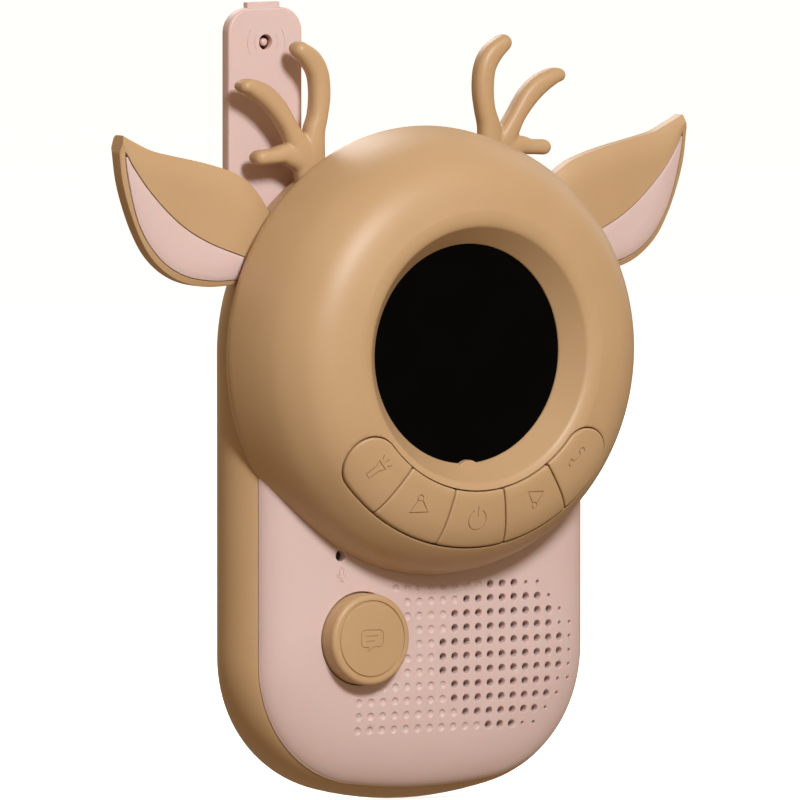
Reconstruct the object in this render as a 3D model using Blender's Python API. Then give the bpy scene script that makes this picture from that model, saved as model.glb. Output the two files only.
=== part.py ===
"""Toy walkie-talkie with an animal head: two-part body, round display head, ears, antlers and antenna.

Sizes are in millimetres and turn into metres where a mesh is made. X runs to the right and Z up. Depths
are counted from the seam between front cover and rear shell, negative to the front; SEAM_Y puts that
seam where the whole object's box is centred on Y = 0. Z = 0 is the lowest point of the body.
"""

import math

import bmesh
import bpy

# Clearances
GAP = 0.3          # between fixed pieces that touch
RUN_GAP = 0.35     # round a piece that travels
SCREW_GAP = 0.3    # between a screw and its hole

# Body: the seam's outline, and the wider outline where the rear shell bulges
SEAM_HALF = 33.85
SEAM_BOTTOM = 2.5
SEAM_CORNER = 22.0
SEAM_SOLE = 105.0  # radius of the shallow arc along the bottom
BULGE_HALF = 36.8
BULGE_CORNER = 25.9
BULGE_SOLE = 70.0
EDGE_R = 8.8       # section radius of the rear shell's edge
EDGE_DEPTH = 6.4   # depth of that radius' centre behind the seam
WALL = 2.0
COVER_WALL = 1.8
COVER_INSETS = (1.2, 2.6, 4.6, 7.4, 11.0, 17.0)  # rings of the crowned front face
FRONT_DEPTH = 5.0  # flat front face, in front of the seam
SOLE_SLOPE = 1.5   # the front face falls away over a longer way at the bottom than at the sides
LIP_WALL = 1.1
LIP_DEPTH = 1.8
BACK_DEPTH = EDGE_DEPTH + EDGE_R

# Head
HEAD_Z = 80.0
HEAD_SKIRT = 36.65  # inner radius of the skirt round the body
HEAD_BACK = 3.2
CREST_DEPTH = 20.2
# Radius and depth of the head's outside, from the skirt over its widest part to the crest
HEAD_CURVE = ((38.1, HEAD_BACK), (39.2, 1.6), (40.0, 0.0), (39.2, -2.5), (38.5, -5.2), (38.3, -8.2),
              (37.7, -11.4), (36.2, -14.2), (34.1, -16.8), (31.6, -18.5), (28.8, -19.5), (25.4, -CREST_DEPTH))
RIM_R = 22.4
RIM_DEPTH = 19.4
SCREEN_R = 19.4
SCREEN_DEPTH = 15.2
HEAD_WALL = 2.0
DOME_BASE = 4.0     # the inside is straight up to here in front of the seam
LENS_LAND = 2.0
LENS_T = 1.4
NUB_R = 2.6
NUB_PROUD = 0.65
NUB_T = 1.1
SEAT_R = 31.0
CABLE_HOLE_R = 15.0
DISPLAY_W = 32.0
DISPLAY_H = 34.0
DISPLAY_T = 2.6
HEAD_BOARD_R = 34.0
HEAD_BOARD_T = 1.2
HEAD_SCREW_AT = 26.2
HEAD_SCREW_ANGLES = (30, 90, 150)
HEAD_BOSS_R = 2.4
HEAD_SCREW_TIP = -12.0

# Keys: one arc of five, split by planes through the head's axis
KEY_IN = 23.9
KEY_OUT = 34.3
KEY_END = 50.0      # degrees from straight down to the centre of the round end
KEY_SPLITS = (-37.0, -13.0, 11.0, 35.0)
KEY_NAMES = ("key_torch", "key_up", "key_power", "key_down", "key_call")
KEY_PROUD = 0.3
KEY_TRAVEL = 0.8
KEY_FOOT = -13.4

# Grille and microphone
GRILLE_X = 14.35
GRILLE_Z = 25.65
GRILLE_PITCH = 2.5
GRILLE_HOLE_R = 0.66
GRILLE_REACH = 26   # a hole is open where column squared plus row squared stays within this
MIC_X = -19.7
MIC_Z = 44.4
MIC_HOLE_R = 1.0
MIC_R = 3.0
MIC_T = 2.0
MIC_BOOT_R = 4.2

# Talk button
TALK_X = -15.4
TALK_Z = 29.6
TALK_R = 8.1
TALK_PROUD = 3.5
TALK_GROOVE_R = 6.55
TALK_GROOVE = 0.35
TALK_ROUND = 0.9
TALK_FLANGE = 1.4
TALK_FLANGE_T = 1.0
TALK_SEAT = 0.9     # under the crowned cover, so that the flange clears it
TALK_STEM_R = 2.0
TALK_TRAVEL = 1.2
SWITCH_SIDE = 6.0
SWITCH_T = 3.4
PLUNGER_R = 1.6
PLUNGER_T = 0.9

# Speaker
SPEAKER_R = 14.0
SPEAKER_FRONT = -1.0
SPEAKER_RIM = 2.2
SPEAKER_RIM_T = 1.6
SPEAKER_T = 4.6
BASKET_R = 7.4
MAGNET_R = 7.0
MAGNET_T = 3.0
CONE_R = 11.2
RIB_T = 1.0

# Main board
BOARD_HALF = 19.0
BOARD_LOW = 13.2
BOARD_HIGH = 38.6
BOARD_DEPTH = 7.8
BOARD_T = 1.6
RADIO_W = 13.0
RADIO_H = 11.0
RADIO_T = 1.8
RIBBON_W = 8.0
RIBBON_T = 0.24

# Battery bay
CELL_R = 5.25
CELL_LENGTH = 44.5
CELL_NUB_R = 2.2
CELL_NUB = 0.9
CELL_SPACE = 0.6
SPRING_LENGTH = 3.4
PLATE_T = 0.4
BAY_WALL = 2.0
BAY_LOW = 41.9
DOOR_T = 1.4
DOOR_LEDGE = 1.5
DOOR_TAB_R = 5.2
DOOR_TAB_REACH = 3.6
DOOR_OPEN = 105.0

# Screws
SCREW_SHAFT_R = 1.0
SCREW_HEAD_R = 2.5
SCREW_HEAD_T = 1.5
BOSS_R = 3.6
COVER_BOSS_R = 2.2
HOUSING_SCREWS = ((-12.0, 9.0), (12.0, 9.0), (-27.0, 86.5), (27.0, 86.5))
SCREW_SEAT = 6.0

# Ears and antlers, drawn for the left side and mirrored
TRIM_FRONT = 3.8    # depth of their front faces
TRIM_T = 3.8
EAR_TOP = ((-59.0, 119.4), (-56.7, 118.2), (-52.9, 116.5), (-48.3, 115.4), (-43.2, 114.3),
           (-38.4, 113.0), (-34.6, 111.5), (-31.6, 109.2), (-28.9, 105.6), (-27.4, 102.6))
EAR_BELLY = ((-34.6, 92.4), (-40.8, 92.1), (-46.0, 92.9), (-50.0, 94.8), (-53.4, 97.9),
             (-55.9, 102.0), (-57.9, 106.9), (-59.2, 111.6), (-59.8, 116.6))
EAR_SHELL_R = 37.0
INLAY_TOP = ((-58.7, 116.2), (-57.0, 113.2), (-54.1, 109.4), (-49.6, 104.9), (-45.2, 101.7),
             (-40.3, 99.3), (-34.4, 97.2))
INLAY_LOW = ((-35.8, 93.3), (-40.0, 93.2), (-45.6, 94.1), (-49.9, 96.2), (-53.2, 99.4),
             (-55.7, 103.5), (-57.4, 108.6), (-58.4, 113.2))
INLAY_DEPTH = 1.2
TONGUE_HALF = 3.6
TONGUE_IN = 31.5
EAR_TONGUE_ANGLE = 153.0
ANTLER_TONGUE_ANGLE = 120.0
ANTLER_TONGUE_HALF = 2.2
ANTLER_FRONT = 4.0
ANTLER_EDGE = 4.95  # depth at which the tines are widest
ANTLER_BACK = 7.8
TINE_MAIN = ((-18.9, 112.5, 2.5), (-18.5, 118.4, 2.0), (-17.7, 121.4, 1.75), (-17.25, 125.0, 1.85),
             (-17.6, 128.8, 1.9), (-19.05, 131.4, 1.95), (-21.5, 133.4, 1.5))
TINE_MIDDLE = ((-20.8, 114.5, 2.3), (-22.6, 117.6, 1.9), (-24.2, 120.3, 1.6), (-26.6, 123.5, 1.9),
               (-29.0, 125.6, 1.85), (-31.8, 127.0, 1.5), (-33.0, 127.2, 1.2))
TINE_LOWER = ((-19.5, 113.0, 2.6), (-24.3, 114.9, 1.85), (-27.1, 114.65, 1.4), (-29.8, 114.5, 1.4))

# Antenna
BLADE_X = -25.1
BLADE_W = 15.4
BLADE_FRONT = 11.0
BLADE_T = 2.8
BLADE_TOP = 140.6
BLADE_CORNER = 4.4
BLADE_LOW = 94.4
BLADE_CHAMFER = (3.5, 7.5)  # off the outer corner of its foot
TAB_W = 6.8
TAB_H = 1.0
TAB_T = 1.4
LED_Z = 134.5
LED_HOLE_R = 1.35
LED_R = 0.75
POCKET_T = 1.1
STRIP_T = 0.4
STRIP_W = 8.0

SEAM_Y = (CREST_DEPTH + KEY_PROUD - BACK_DEPTH) / 2

TAN = (0.539, 0.355, 0.188)
PINK = (0.700, 0.520, 0.450)
BLACK = (0.004, 0.004, 0.004)
BOARD_GREEN = (0.02, 0.16, 0.06)
STEEL = (0.62, 0.62, 0.60)


def clear_scene():
    for thing in list(bpy.data.objects):
        bpy.data.objects.remove(thing, do_unlink=True)


def material(name, colour, roughness=0.45, metallic=0.0):
    made = bpy.data.materials.new(name)
    made.use_nodes = True
    shader = made.node_tree.nodes["Principled BSDF"]
    shader.inputs["Base Color"].default_value = (*colour, 1.0)
    shader.inputs["Roughness"].default_value = roughness
    shader.inputs["Metallic"].default_value = metallic
    return made


def at(x, depth, z):
    """A point given by its depth from the seam, as a position in metres."""
    return (x / 1000, (depth + SEAM_Y) / 1000, z / 1000)


def add_object(name, bm, finish=None, origin=None):
    """Makes the object of a mesh built in place; origin is where a moving piece turns or slides."""
    bmesh.ops.recalc_face_normals(bm, faces=bm.faces)
    if bm.calc_volume(signed=True) < 0:
        bmesh.ops.reverse_faces(bm, faces=bm.faces)
    if origin:
        bmesh.ops.translate(bm, vec=[-value for value in origin], verts=bm.verts)
    mesh = bpy.data.meshes.new(name)
    bm.to_mesh(mesh)
    bm.free()
    mesh.shade_smooth()
    mesh.set_sharp_from_angle(angle=math.radians(32))
    if finish:
        mesh.materials.append(finish)
    made = bpy.data.objects.new(name, mesh)
    if origin:
        made.location = origin
    bpy.context.scene.collection.objects.link(made)
    return made


def hide(tool):
    tool.hide_render = True
    tool.display_type = "WIRE"
    return tool


def combine(target, tool, operation):
    """Adds a Boolean that cuts, joins or keeps the tool's shape."""
    modifier = target.modifiers.new(tool.name, "BOOLEAN")
    modifier.operation = operation
    modifier.object = tool
    modifier.solver = "EXACT"
    hide(tool)
    tool.parent = target
    tool.matrix_parent_inverse = target.matrix_basis.inverted()


def cut(target, *tools):
    for tool in tools:
        combine(target, tool, "DIFFERENCE")


def join(target, *tools):
    for tool in tools:
        combine(target, tool, "UNION")


def loft_mesh(rings):
    """A closed skin over rings of equally many points, with a flat face at each end."""
    bm = bmesh.new()
    made = [[bm.verts.new(point) for point in ring] for ring in rings]
    count = len(rings[0])
    for low, high in zip(made, made[1:]):
        for i in range(count):
            j = (i + 1) % count
            bm.faces.new((low[i], low[j], high[j], high[i]))
    bm.faces.new(made[0][::-1])
    bm.faces.new(made[-1])
    return bm


def loft(name, rings, finish=None, origin=None):
    return add_object(name, loft_mesh(rings), finish, origin)


def plate(name, outline, front, back, finish=None, origin=None):
    """A flat piece: an outline of (x, z) points between two depths."""
    rings = [[at(x, depth, z) for x, z in outline] for depth in (front, back)]
    return loft(name, rings, finish, origin)


def block(name, low, high, finish=None, origin=None):
    """A box between two corners, each given as x, depth and z."""
    outline = ((low[0], low[2]), (high[0], low[2]), (high[0], high[2]), (low[0], high[2]))
    return plate(name, outline, low[1], high[1], finish, origin)


def turned(name, profile, x, z, finish=None, steps=24, closed=True, origin=None):
    """A turned piece about a line along Y. An open profile starts and ends on that line."""
    bm = bmesh.new()
    columns = []
    for step in range(steps):
        angle = 2 * math.pi * step / steps
        columns.append([(x + r * math.cos(angle), depth, z + r * math.sin(angle)) for r, depth in profile])
    ends = {}
    verts = []
    for column in columns:
        line = []
        for k, point in enumerate(column):
            on_axis = not closed and k in (0, len(profile) - 1)
            if on_axis and k not in ends:
                ends[k] = bm.verts.new(at(*point))
            line.append(ends[k] if on_axis else bm.verts.new(at(*point)))
        verts.append(line)
    last = len(profile) if closed else len(profile) - 1
    for step in range(steps):
        here, there = verts[step], verts[(step + 1) % steps]
        for k in range(last):
            m = (k + 1) % len(profile)
            corners = list(dict.fromkeys((here[k], here[m], there[m], there[k])))
            bm.faces.new(corners)
    return add_object(name, bm, finish, origin)


def disc(name, x, z, radius, front, back, finish=None, steps=16, origin=None):
    outline = arc(x, z, radius, 0, 360 - 360 / steps, steps - 1)
    return plate(name, outline, front, back, finish, origin)


def arc(x, z, radius, start, end, steps):
    """Points on an arc from start to end, in degrees from +X towards +Z."""
    return [
        (x + radius * math.cos(math.radians(start + (end - start) * k / steps)),
         z + radius * math.sin(math.radians(start + (end - start) * k / steps)))
        for k in range(steps + 1)
    ]


def body_outline(out):
    """The body's outline, out from the seam's (negative is inwards), anticlockwise from the bottom."""
    share = max(out, 0) / edge_out(EDGE_DEPTH)
    inset = min(out, 0)
    half = SEAM_HALF + share * (BULGE_HALF - SEAM_HALF) + inset
    bottom = SEAM_BOTTOM * (1 - share) - inset
    corner = SEAM_CORNER + share * (BULGE_CORNER - SEAM_CORNER) + inset
    sole = SEAM_SOLE + share * (BULGE_SOLE - SEAM_SOLE) + inset
    return stadium(half, bottom, corner, sole)


def stadium(half, bottom, corner, sole):
    """Round top about the head's centre, straight sides, round corners and a slightly bowed bottom."""
    centre_x = half - corner
    centre_z = bottom + sole - math.sqrt((sole - corner) ** 2 - centre_x**2)
    lean = math.degrees(math.asin(centre_x / (sole - corner)))
    right = arc(0, bottom + sole, sole, -90, -90 + lean, 2)
    right += arc(centre_x, centre_z, corner, -90 + lean, 0, 6)[1:]
    top = arc(0, HEAD_Z, half, 0, 180, 20)
    left = [(-x, z) for x, z in reversed(right[1:])]
    return right + top + left


def edge_out(depth, radius=EDGE_R):
    """How far the rear shell's edge stands out from the seam's outline at a depth."""
    centre = -math.sqrt(EDGE_R**2 - EDGE_DEPTH**2)
    return centre + math.sqrt(max(radius**2 - (depth - EDGE_DEPTH) ** 2, 0.0))


def front_ring(inset, depth):
    """A ring of the front cover: further in, the bottom falls away over a longer way."""
    outline = stadium(
        SEAM_HALF - inset,
        SEAM_BOTTOM + SOLE_SLOPE * inset,
        SEAM_CORNER - 0.6 * inset,
        SEAM_SOLE - 2 * inset,
    )
    return [at(x, depth, z) for x, z in outline]


def front_depth(inset):
    """Depth of the front face at an inset from the seam: a crowned cushion with a flat middle."""
    reach = 17.0
    share = min(inset / reach, 1.0)
    return -FRONT_DEPTH * (1 - (1 - share) ** 3.2) ** 0.62


def smooth(points, steps):
    """Points on a smooth curve through the given ones, whose ends stay ends."""
    padded = [points[0], *points, points[-1]]
    made = []
    for before, start, end, after in zip(padded, padded[1:], padded[2:], padded[3:]):
        for k in range(steps):
            t = k / steps
            made.append(tuple(
                b + 0.5 * t * ((c - a) + t * (2 * a - 5 * b + 4 * c - d + t * (3 * b - a - 3 * c + d)))
                for a, b, c, d in zip(before, start, end, after)
            ))
    made.append(tuple(points[-1]))
    return made


def grow(outline, distance):
    """An outline moved outwards by a distance, square to its edges."""
    turn = sum(a[0] * b[1] - b[0] * a[1] for a, b in zip(outline, outline[1:] + outline[:1]))
    sign = 1 if turn > 0 else -1
    grown = []
    for before, here, after in zip(outline[-1:] + outline[:-1], outline, outline[1:] + outline[:1]):
        first = math.atan2(here[1] - before[1], here[0] - before[0])
        second = math.atan2(after[1] - here[1], after[0] - here[0])
        bend = (second - first + math.pi) % (2 * math.pi) - math.pi
        middle = first + bend / 2 - sign * math.pi / 2
        step = distance / max(math.cos(bend / 2), 0.45)
        grown.append((here[0] + step * math.cos(middle), here[1] + step * math.sin(middle)))
    return grown


def mirrored(points, side):
    """The left side's points as they are, or mirrored for the right."""
    return [(-x, *rest) for x, *rest in points] if side == "right" else [tuple(p) for p in points]


def radial_outline(angle, inner, outer, half):
    """A strip that runs outwards from the head's centre at an angle."""
    c, s = math.cos(math.radians(angle)), math.sin(math.radians(angle))
    return [
        (r * c - w * s, HEAD_Z + r * s + w * c)
        for r, w in ((inner, -half), (outer, -half), (outer, half), (inner, half))
    ]


def side_angle(angle, side):
    return 180 - angle if side == "right" else angle


# ---- rear shell -------------------------------------------------------------------------------------

def bay_size():
    """Half width, bottom and top of the battery pocket, and the depth of its floor."""
    half = 1.5 * 2 * CELL_R + CELL_SPACE + GAP
    top = BAY_LOW + CELL_LENGTH + SPRING_LENGTH + PLATE_T + 4 * GAP
    floor = BACK_DEPTH - DOOR_T - 2 * GAP - 2 * CELL_R - GAP
    return half, BAY_LOW, top, floor


def door_outline(growth=0.0):
    """The battery door: a rounded plate with a round screw tab on top."""
    half, low, top, _ = bay_size()
    half, low, top = half + DOOR_LEDGE + growth, low - DOOR_LEDGE - growth, top + DOOR_LEDGE + growth
    corner = 2.0 + growth
    tab = DOOR_TAB_R + growth
    centre = top - growth + DOOR_TAB_REACH - DOOR_TAB_R + 2.6
    start = math.degrees(math.asin((top - centre) / tab))
    outline = arc(-half + corner, low + corner, corner, 180, 270, 3)
    outline += arc(half - corner, low + corner, corner, 270, 360, 3)
    outline += arc(half - corner, top - corner, corner, 0, 90, 3)
    outline += arc(0, centre, tab, start, 180 - start, 8)
    outline += arc(-half + corner, top - corner, corner, 90, 180, 3)
    return outline, centre


def rear_shell(finish):
    depths = [0.0, 1.2, 2.8, 4.6, EDGE_DEPTH, 8.4, 10.4, 12.2, 13.6, 14.7, BACK_DEPTH]
    rings = [[at(x, d, z) for x, z in body_outline(edge_out(d))] for d in depths]
    shell = loft("rear_shell", rings, finish)
    inner_r = EDGE_R - WALL
    hollow = [(-WALL, -1.0), (-WALL, 0.0), (-WALL + 1.8, 3.0), (edge_out(EDGE_DEPTH, inner_r), EDGE_DEPTH)]
    hollow += [(edge_out(d, inner_r), d) for d in (8.6, 10.6, 12.2, BACK_DEPTH - WALL)]
    cavity = loft("cutter_cavity", [[at(x, d, z) for x, z in body_outline(o)] for o, d in hollow])
    cut(shell, cavity)
    bay_walls(shell)
    shell_bosses(shell)
    for side in ("left", "right"):
        for name, angle, half in tongues():
            slot = radial_outline(side_angle(angle, side), TONGUE_IN - 1, BULGE_HALF + 2, half + GAP)
            cut(shell, plate(f"cutter_{name}_{side}", slot, TRIM_FRONT - GAP, TRIM_FRONT + TRIM_T + GAP))
    slot = grow(blade_outline(0.0), GAP)
    cut(shell, plate("cutter_blade_slot", slot, BLADE_FRONT - GAP, BLADE_FRONT + BLADE_T + GAP))
    return shell


def tongues():
    return (("ear", EAR_TONGUE_ANGLE, TONGUE_HALF), ("antler", ANTLER_TONGUE_ANGLE, ANTLER_TONGUE_HALF))


def bay_walls(shell):
    half, low, top, floor = bay_size()
    wall = DOOR_LEDGE + BAY_WALL / 2
    ledge = BACK_DEPTH - DOOR_T - GAP
    walls = block("join_bay", (-half - wall, floor - 1.2, low - wall), (half + wall, ledge - 0.1, top + wall))
    _, tab_z = door_outline()
    boss = disc("join_door_boss", 0, tab_z, BOSS_R + 2.4, floor + 2.0, ledge - 0.1)
    join(shell, walls, boss)
    pocket = block("cutter_pocket", (-half, floor, low), (half, BACK_DEPTH + 1, top))
    recess = plate("cutter_door", door_outline(GAP)[0], ledge, BACK_DEPTH + 1)
    screw = disc("cutter_door_screw", 0, tab_z, SCREW_SHAFT_R + 1.0, ledge - 6.5, BACK_DEPTH, steps=12)
    cut(shell, pocket, recess, screw)


def shell_bosses(shell):
    for k, (x, z) in enumerate(HOUSING_SCREWS):
        boss = disc(f"join_boss_{k}", x, z, BOSS_R, LIP_DEPTH + 1.0, BACK_DEPTH - WALL + 0.3)
        seat = disc(f"cutter_seat_{k}", x, z, SCREW_HEAD_R + SCREW_GAP, SCREW_SEAT, BACK_DEPTH + 1, steps=12)
        hole = disc(f"cutter_screw_{k}", x, z, SCREW_SHAFT_R + SCREW_GAP, 0, SCREW_SEAT + 1, steps=8)
        join(shell, boss)
        cut(shell, seat, hole)


# ---- front cover ------------------------------------------------------------------------------------

def cover_sections():
    """Inset and depth of each ring of the cover, outside first and then back along the inside."""
    outside = [(0.0, -GAP)]
    outside += [(inset, min(front_depth(inset), -GAP - 0.4)) for inset in (0.35, *COVER_INSETS)]
    inside = [(inset, front_depth(inset - 0.9) + COVER_WALL) for inset in COVER_INSETS[:1:-1]]
    return outside, inside


def front_cover(finish):
    outside, inside = cover_sections()
    cover = loft("front_cover", [front_ring(*pair) for pair in outside], finish)
    lip_in = WALL + GAP + LIP_WALL
    rings = [front_ring(*pair) for pair in inside]
    rings.append(front_ring(lip_in, -GAP - 0.8))
    rings.append([at(x, 1.0, z) for x, z in body_outline(-lip_in)])
    cavity = loft("cutter_cover_cavity", rings)
    cut(cover, cavity)
    outer = [[at(x, d, z) for x, z in body_outline(-WALL - GAP)] for d in (-1.3, LIP_DEPTH)]
    inner = [[at(x, d, z) for x, z in body_outline(-lip_in)] for d in (-2.4, LIP_DEPTH + 1)]
    lip = loft("join_lip", outer)
    cut(lip, loft("cutter_lip", inner))
    seat = disc("join_seat", 0, HEAD_Z, SEAT_R, -FRONT_DEPTH, -FRONT_DEPTH + COVER_WALL + 1.2, steps=32)
    join(cover, lip, seat)
    cover_bosses(cover)
    cover_openings(cover)
    return cover


def inner_envelope(name):
    """The space that what is inside the cover keeps to, half a wall in from its outside."""
    half_wall = COVER_WALL / 2
    rings = [front_ring(inset, front_depth(inset) + half_wall) for inset in COVER_INSETS]
    return loft(name, [front_ring(COVER_INSETS[0], EDGE_DEPTH), *rings])


def cover_bosses(cover):
    inner, outer = SPEAKER_R + GAP, SPEAKER_R + GAP + RIB_T
    rib = [(inner, -3.4), (outer, -3.4), (outer, 0.4), (inner, 0.4)]
    join(cover, turned("join_rib", rib, GRILLE_X, GRILLE_Z, steps=28))
    for k, (x, z) in enumerate(HOUSING_SCREWS):
        boss = disc(f"join_cover_boss_{k}", x, z, COVER_BOSS_R, -FRONT_DEPTH, LIP_DEPTH + 0.7, steps=12)
        combine(boss, inner_envelope(f"tool_envelope_{k}"), "INTERSECT")
        join(cover, boss)
        hole = disc(f"cutter_cover_boss_{k}", x, z, SCREW_SHAFT_R + SCREW_GAP, -1.6, LIP_DEPTH + 2, steps=8)
        cut(cover, hole)


def grille_places():
    """Where the open sound holes are, on a square grid inside a circle."""
    reach = math.isqrt(GRILLE_REACH)
    steps = range(-reach, reach + 1)
    return [
        (GRILLE_X + column * GRILLE_PITCH, GRILLE_Z - row * GRILLE_PITCH)
        for row in steps
        for column in steps
        if column**2 + row**2 <= GRILLE_REACH
    ]


def cover_openings(cover):
    talk = disc("cutter_talk", TALK_X, TALK_Z, TALK_R + GAP, -FRONT_DEPTH - 2, 0, steps=28)
    mic = disc("cutter_mic", MIC_X, MIC_Z, MIC_HOLE_R, -FRONT_DEPTH - 2, 0, steps=12)
    cable = disc("cutter_cable", 0, HEAD_Z, CABLE_HOLE_R, -FRONT_DEPTH - 2, 0, steps=24)
    cut(cover, talk, mic, cable)
    for k, (x, z) in enumerate(head_screw_places()):
        hole_r = SCREW_SHAFT_R + SCREW_GAP
        cut(cover, disc(f"cutter_head_screw_{k}", x, z, hole_r, -FRONT_DEPTH - 2, 0, steps=8))
    holes = bmesh.new()
    for x, z in grille_places():
        piece = loft_mesh([
            [at(px, depth, pz) for px, pz in arc(x, z, GRILLE_HOLE_R, 30, 330, 5)]
            for depth in (-FRONT_DEPTH - 2, 0)
        ])
        mesh = bpy.data.meshes.new("hole")
        piece.to_mesh(mesh)
        piece.free()
        holes.from_mesh(mesh)
        bpy.data.meshes.remove(mesh)
    cut(cover, add_object("cutter_grille", holes))


# ---- head -------------------------------------------------------------------------------------------

def head_curve(proud=0.0):
    """The head's outside from skirt to crest, moved outwards by a distance square to the curve."""
    moved = []
    for k, (radius, depth) in enumerate(HEAD_CURVE):
        before, after = HEAD_CURVE[max(k - 1, 0)], HEAD_CURVE[min(k + 1, len(HEAD_CURVE) - 1)]
        lean = math.atan2(after[0] - before[0], before[1] - after[1])
        moved.append((radius + proud * math.cos(lean), depth + proud * math.sin(lean)))
    return moved


def head_profile():
    """The turned section: outside, over the rim and down to the screen, then back along the inside."""
    rim = [(24.4, -CREST_DEPTH + 0.02), (23.4, -CREST_DEPTH + 0.25), (RIM_R + 0.3, -RIM_DEPTH - 0.4)]
    screen = [(RIM_R, -RIM_DEPTH), (SCREEN_R, -SCREEN_DEPTH - 0.3), (SCREEN_R, -SCREEN_DEPTH)]
    pocket = SCREEN_R + LENS_LAND
    ring = pocket + HEAD_WALL - 0.1
    seat = -SCREEN_DEPTH + LENS_T + GAP
    inside = [(pocket, -SCREEN_DEPTH), (pocket, seat), (ring, seat), (ring, -RIM_DEPTH + 1.8)]
    inside += [(r, d) for r, d in reversed(head_curve(-HEAD_WALL)) if r > ring + 1 and d < -DOME_BASE]
    return [*HEAD_CURVE, *rim, *screen, *inside, (HEAD_SKIRT, -DOME_BASE), (HEAD_SKIRT, HEAD_BACK)]


def head_screw_places():
    return [
        (HEAD_SCREW_AT * math.cos(math.radians(a)), HEAD_Z + HEAD_SCREW_AT * math.sin(math.radians(a)))
        for a in HEAD_SCREW_ANGLES
    ]


def key_outline(inset=0.0):
    """The whole arc of keys, with round ends."""
    middle = (KEY_IN + KEY_OUT) / 2
    half = (KEY_OUT - KEY_IN) / 2 - inset
    ends = []
    for angle in (-90 - KEY_END, -90 + KEY_END):
        c, s = math.cos(math.radians(angle)), math.sin(math.radians(angle))
        ends.append((middle * c, HEAD_Z + middle * s))
    outline = arc(0, HEAD_Z, middle + half, -90 - KEY_END, -90 + KEY_END, 20)
    outline += arc(*ends[1], half, -90 + KEY_END, 90 + KEY_END, 8)[1:]
    outline += arc(0, HEAD_Z, middle - half, -90 + KEY_END, -90 - KEY_END, 20)[1:]
    outline += arc(*ends[0], half, 90 - KEY_END, 270 - KEY_END, 8)[1:-1]
    return outline


def body_clearance():
    """The body's outside grown by the gap, which trims the head where it meets the body."""
    outside, _ = cover_sections()
    rings = [[at(x, d, z) for x, z in body_outline(edge_out(d) + GAP)] for d in (7.0, 4.6, 2.8, 1.2, 0.0)]
    rings += [front_ring(inset - GAP, depth - GAP) for inset, depth in outside[1:]]
    return loft("cutter_body", rings)


def head_shell(finish):
    head = turned("head_shell", head_profile(), 0, HEAD_Z, finish, steps=56)
    nub_z = HEAD_Z - SCREEN_R - NUB_R + NUB_PROUD
    join(head, disc("join_nub", 0, nub_z, NUB_R, -SCREEN_DEPTH - NUB_T, -SCREEN_DEPTH, steps=20))
    for k, (x, z) in enumerate(head_screw_places()):
        front = -CREST_DEPTH + 1.2
        join(head, disc(f"join_head_boss_{k}", x, z, HEAD_BOSS_R, front, -FRONT_DEPTH - GAP, steps=12))
        hole_front = HEAD_SCREW_TIP - 1.5
        cut(head, disc(f"cutter_head_boss_{k}", x, z, SCREW_SHAFT_R + SCREW_GAP, hole_front, 0, steps=8))
    cut(head, body_clearance())
    cut(head, plate("cutter_keys", key_outline(), -CREST_DEPTH - 3, KEY_FOOT + 2))
    return head


def keys(finish):
    made = []
    bounds = [-90.0, *KEY_SPLITS, 90.0]
    crest = (KEY_IN - 1, -CREST_DEPTH - KEY_PROUD)
    profile = [(0, crest[1]), crest, *reversed(head_curve(KEY_PROUD)), (0, HEAD_BACK)]
    for name, start, end in zip(KEY_NAMES, bounds, bounds[1:]):
        middle = math.radians(-90 + sum((max(start, -KEY_END), min(end, KEY_END))) / 2)
        reach = (KEY_IN + KEY_OUT) / 2
        origin = at(reach * math.cos(middle), -CREST_DEPTH, HEAD_Z + reach * math.sin(middle))
        key = plate(name, key_outline(RUN_GAP), -CREST_DEPTH - 3, KEY_FOOT, finish, origin)
        combine(key, turned(f"tool_dome_{name}", profile, 0, HEAD_Z, steps=56, closed=False), "INTERSECT")
        combine(key, key_wedge(f"tool_wedge_{name}", start, end), "INTERSECT")
        made.append(key)
    return made


def key_wedge(name, start, end):
    """The sector that one key keeps, with half the running gap taken off at each split."""
    far = KEY_OUT + 12
    corners = []
    for angle, shift in ((start, 1), (end, -1)):
        shift *= 0 if abs(angle) > 89 else RUN_GAP / 2
        a = math.radians(angle - 90)
        for r in ((10, far) if shift >= 0 and angle == start else (far, 10)):
            x = r * math.cos(a) - shift * math.sin(a)
            corners.append((x, HEAD_Z + r * math.sin(a) + shift * math.cos(a)))
    return plate(name, corners, -CREST_DEPTH - 4, KEY_FOOT + 1)


def display(lens_finish, board_finish, dark_finish, rubber_finish):
    front = -SCREEN_DEPTH + GAP
    lens_back = front + LENS_T
    disc("screen_lens", 0, HEAD_Z, SCREEN_R + LENS_LAND - GAP, front, lens_back, lens_finish, steps=56)
    module = lens_back + GAP
    half_w, half_h = DISPLAY_W / 2, DISPLAY_H / 2
    low, high = (-half_w, module, HEAD_Z - half_h), (half_w, module + DISPLAY_T, HEAD_Z + half_h)
    block("display_module", low, high, dark_finish)
    board_front = module + DISPLAY_T + GAP
    board_back = board_front + HEAD_BOARD_T
    board = disc("head_board", 0, HEAD_Z, HEAD_BOARD_R, board_front, board_back, board_finish, steps=48)
    for k, (x, z) in enumerate(head_screw_places()):
        notch_r = HEAD_BOSS_R + GAP
        cut(board, disc(f"cutter_board_{k}", x, z, notch_r, board_front - 1, board_back + 1, steps=12))
    driver = board_back + GAP
    block("display_driver", (-4, driver, HEAD_Z + 4), (4, driver + 1.2, HEAD_Z + 12), dark_finish)
    pad = board_front - GAP
    plate("key_pad", key_outline(RUN_GAP), KEY_FOOT + KEY_TRAVEL + GAP, pad, rubber_finish)
    return board_back


# ---- inside the body --------------------------------------------------------------------------------

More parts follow.
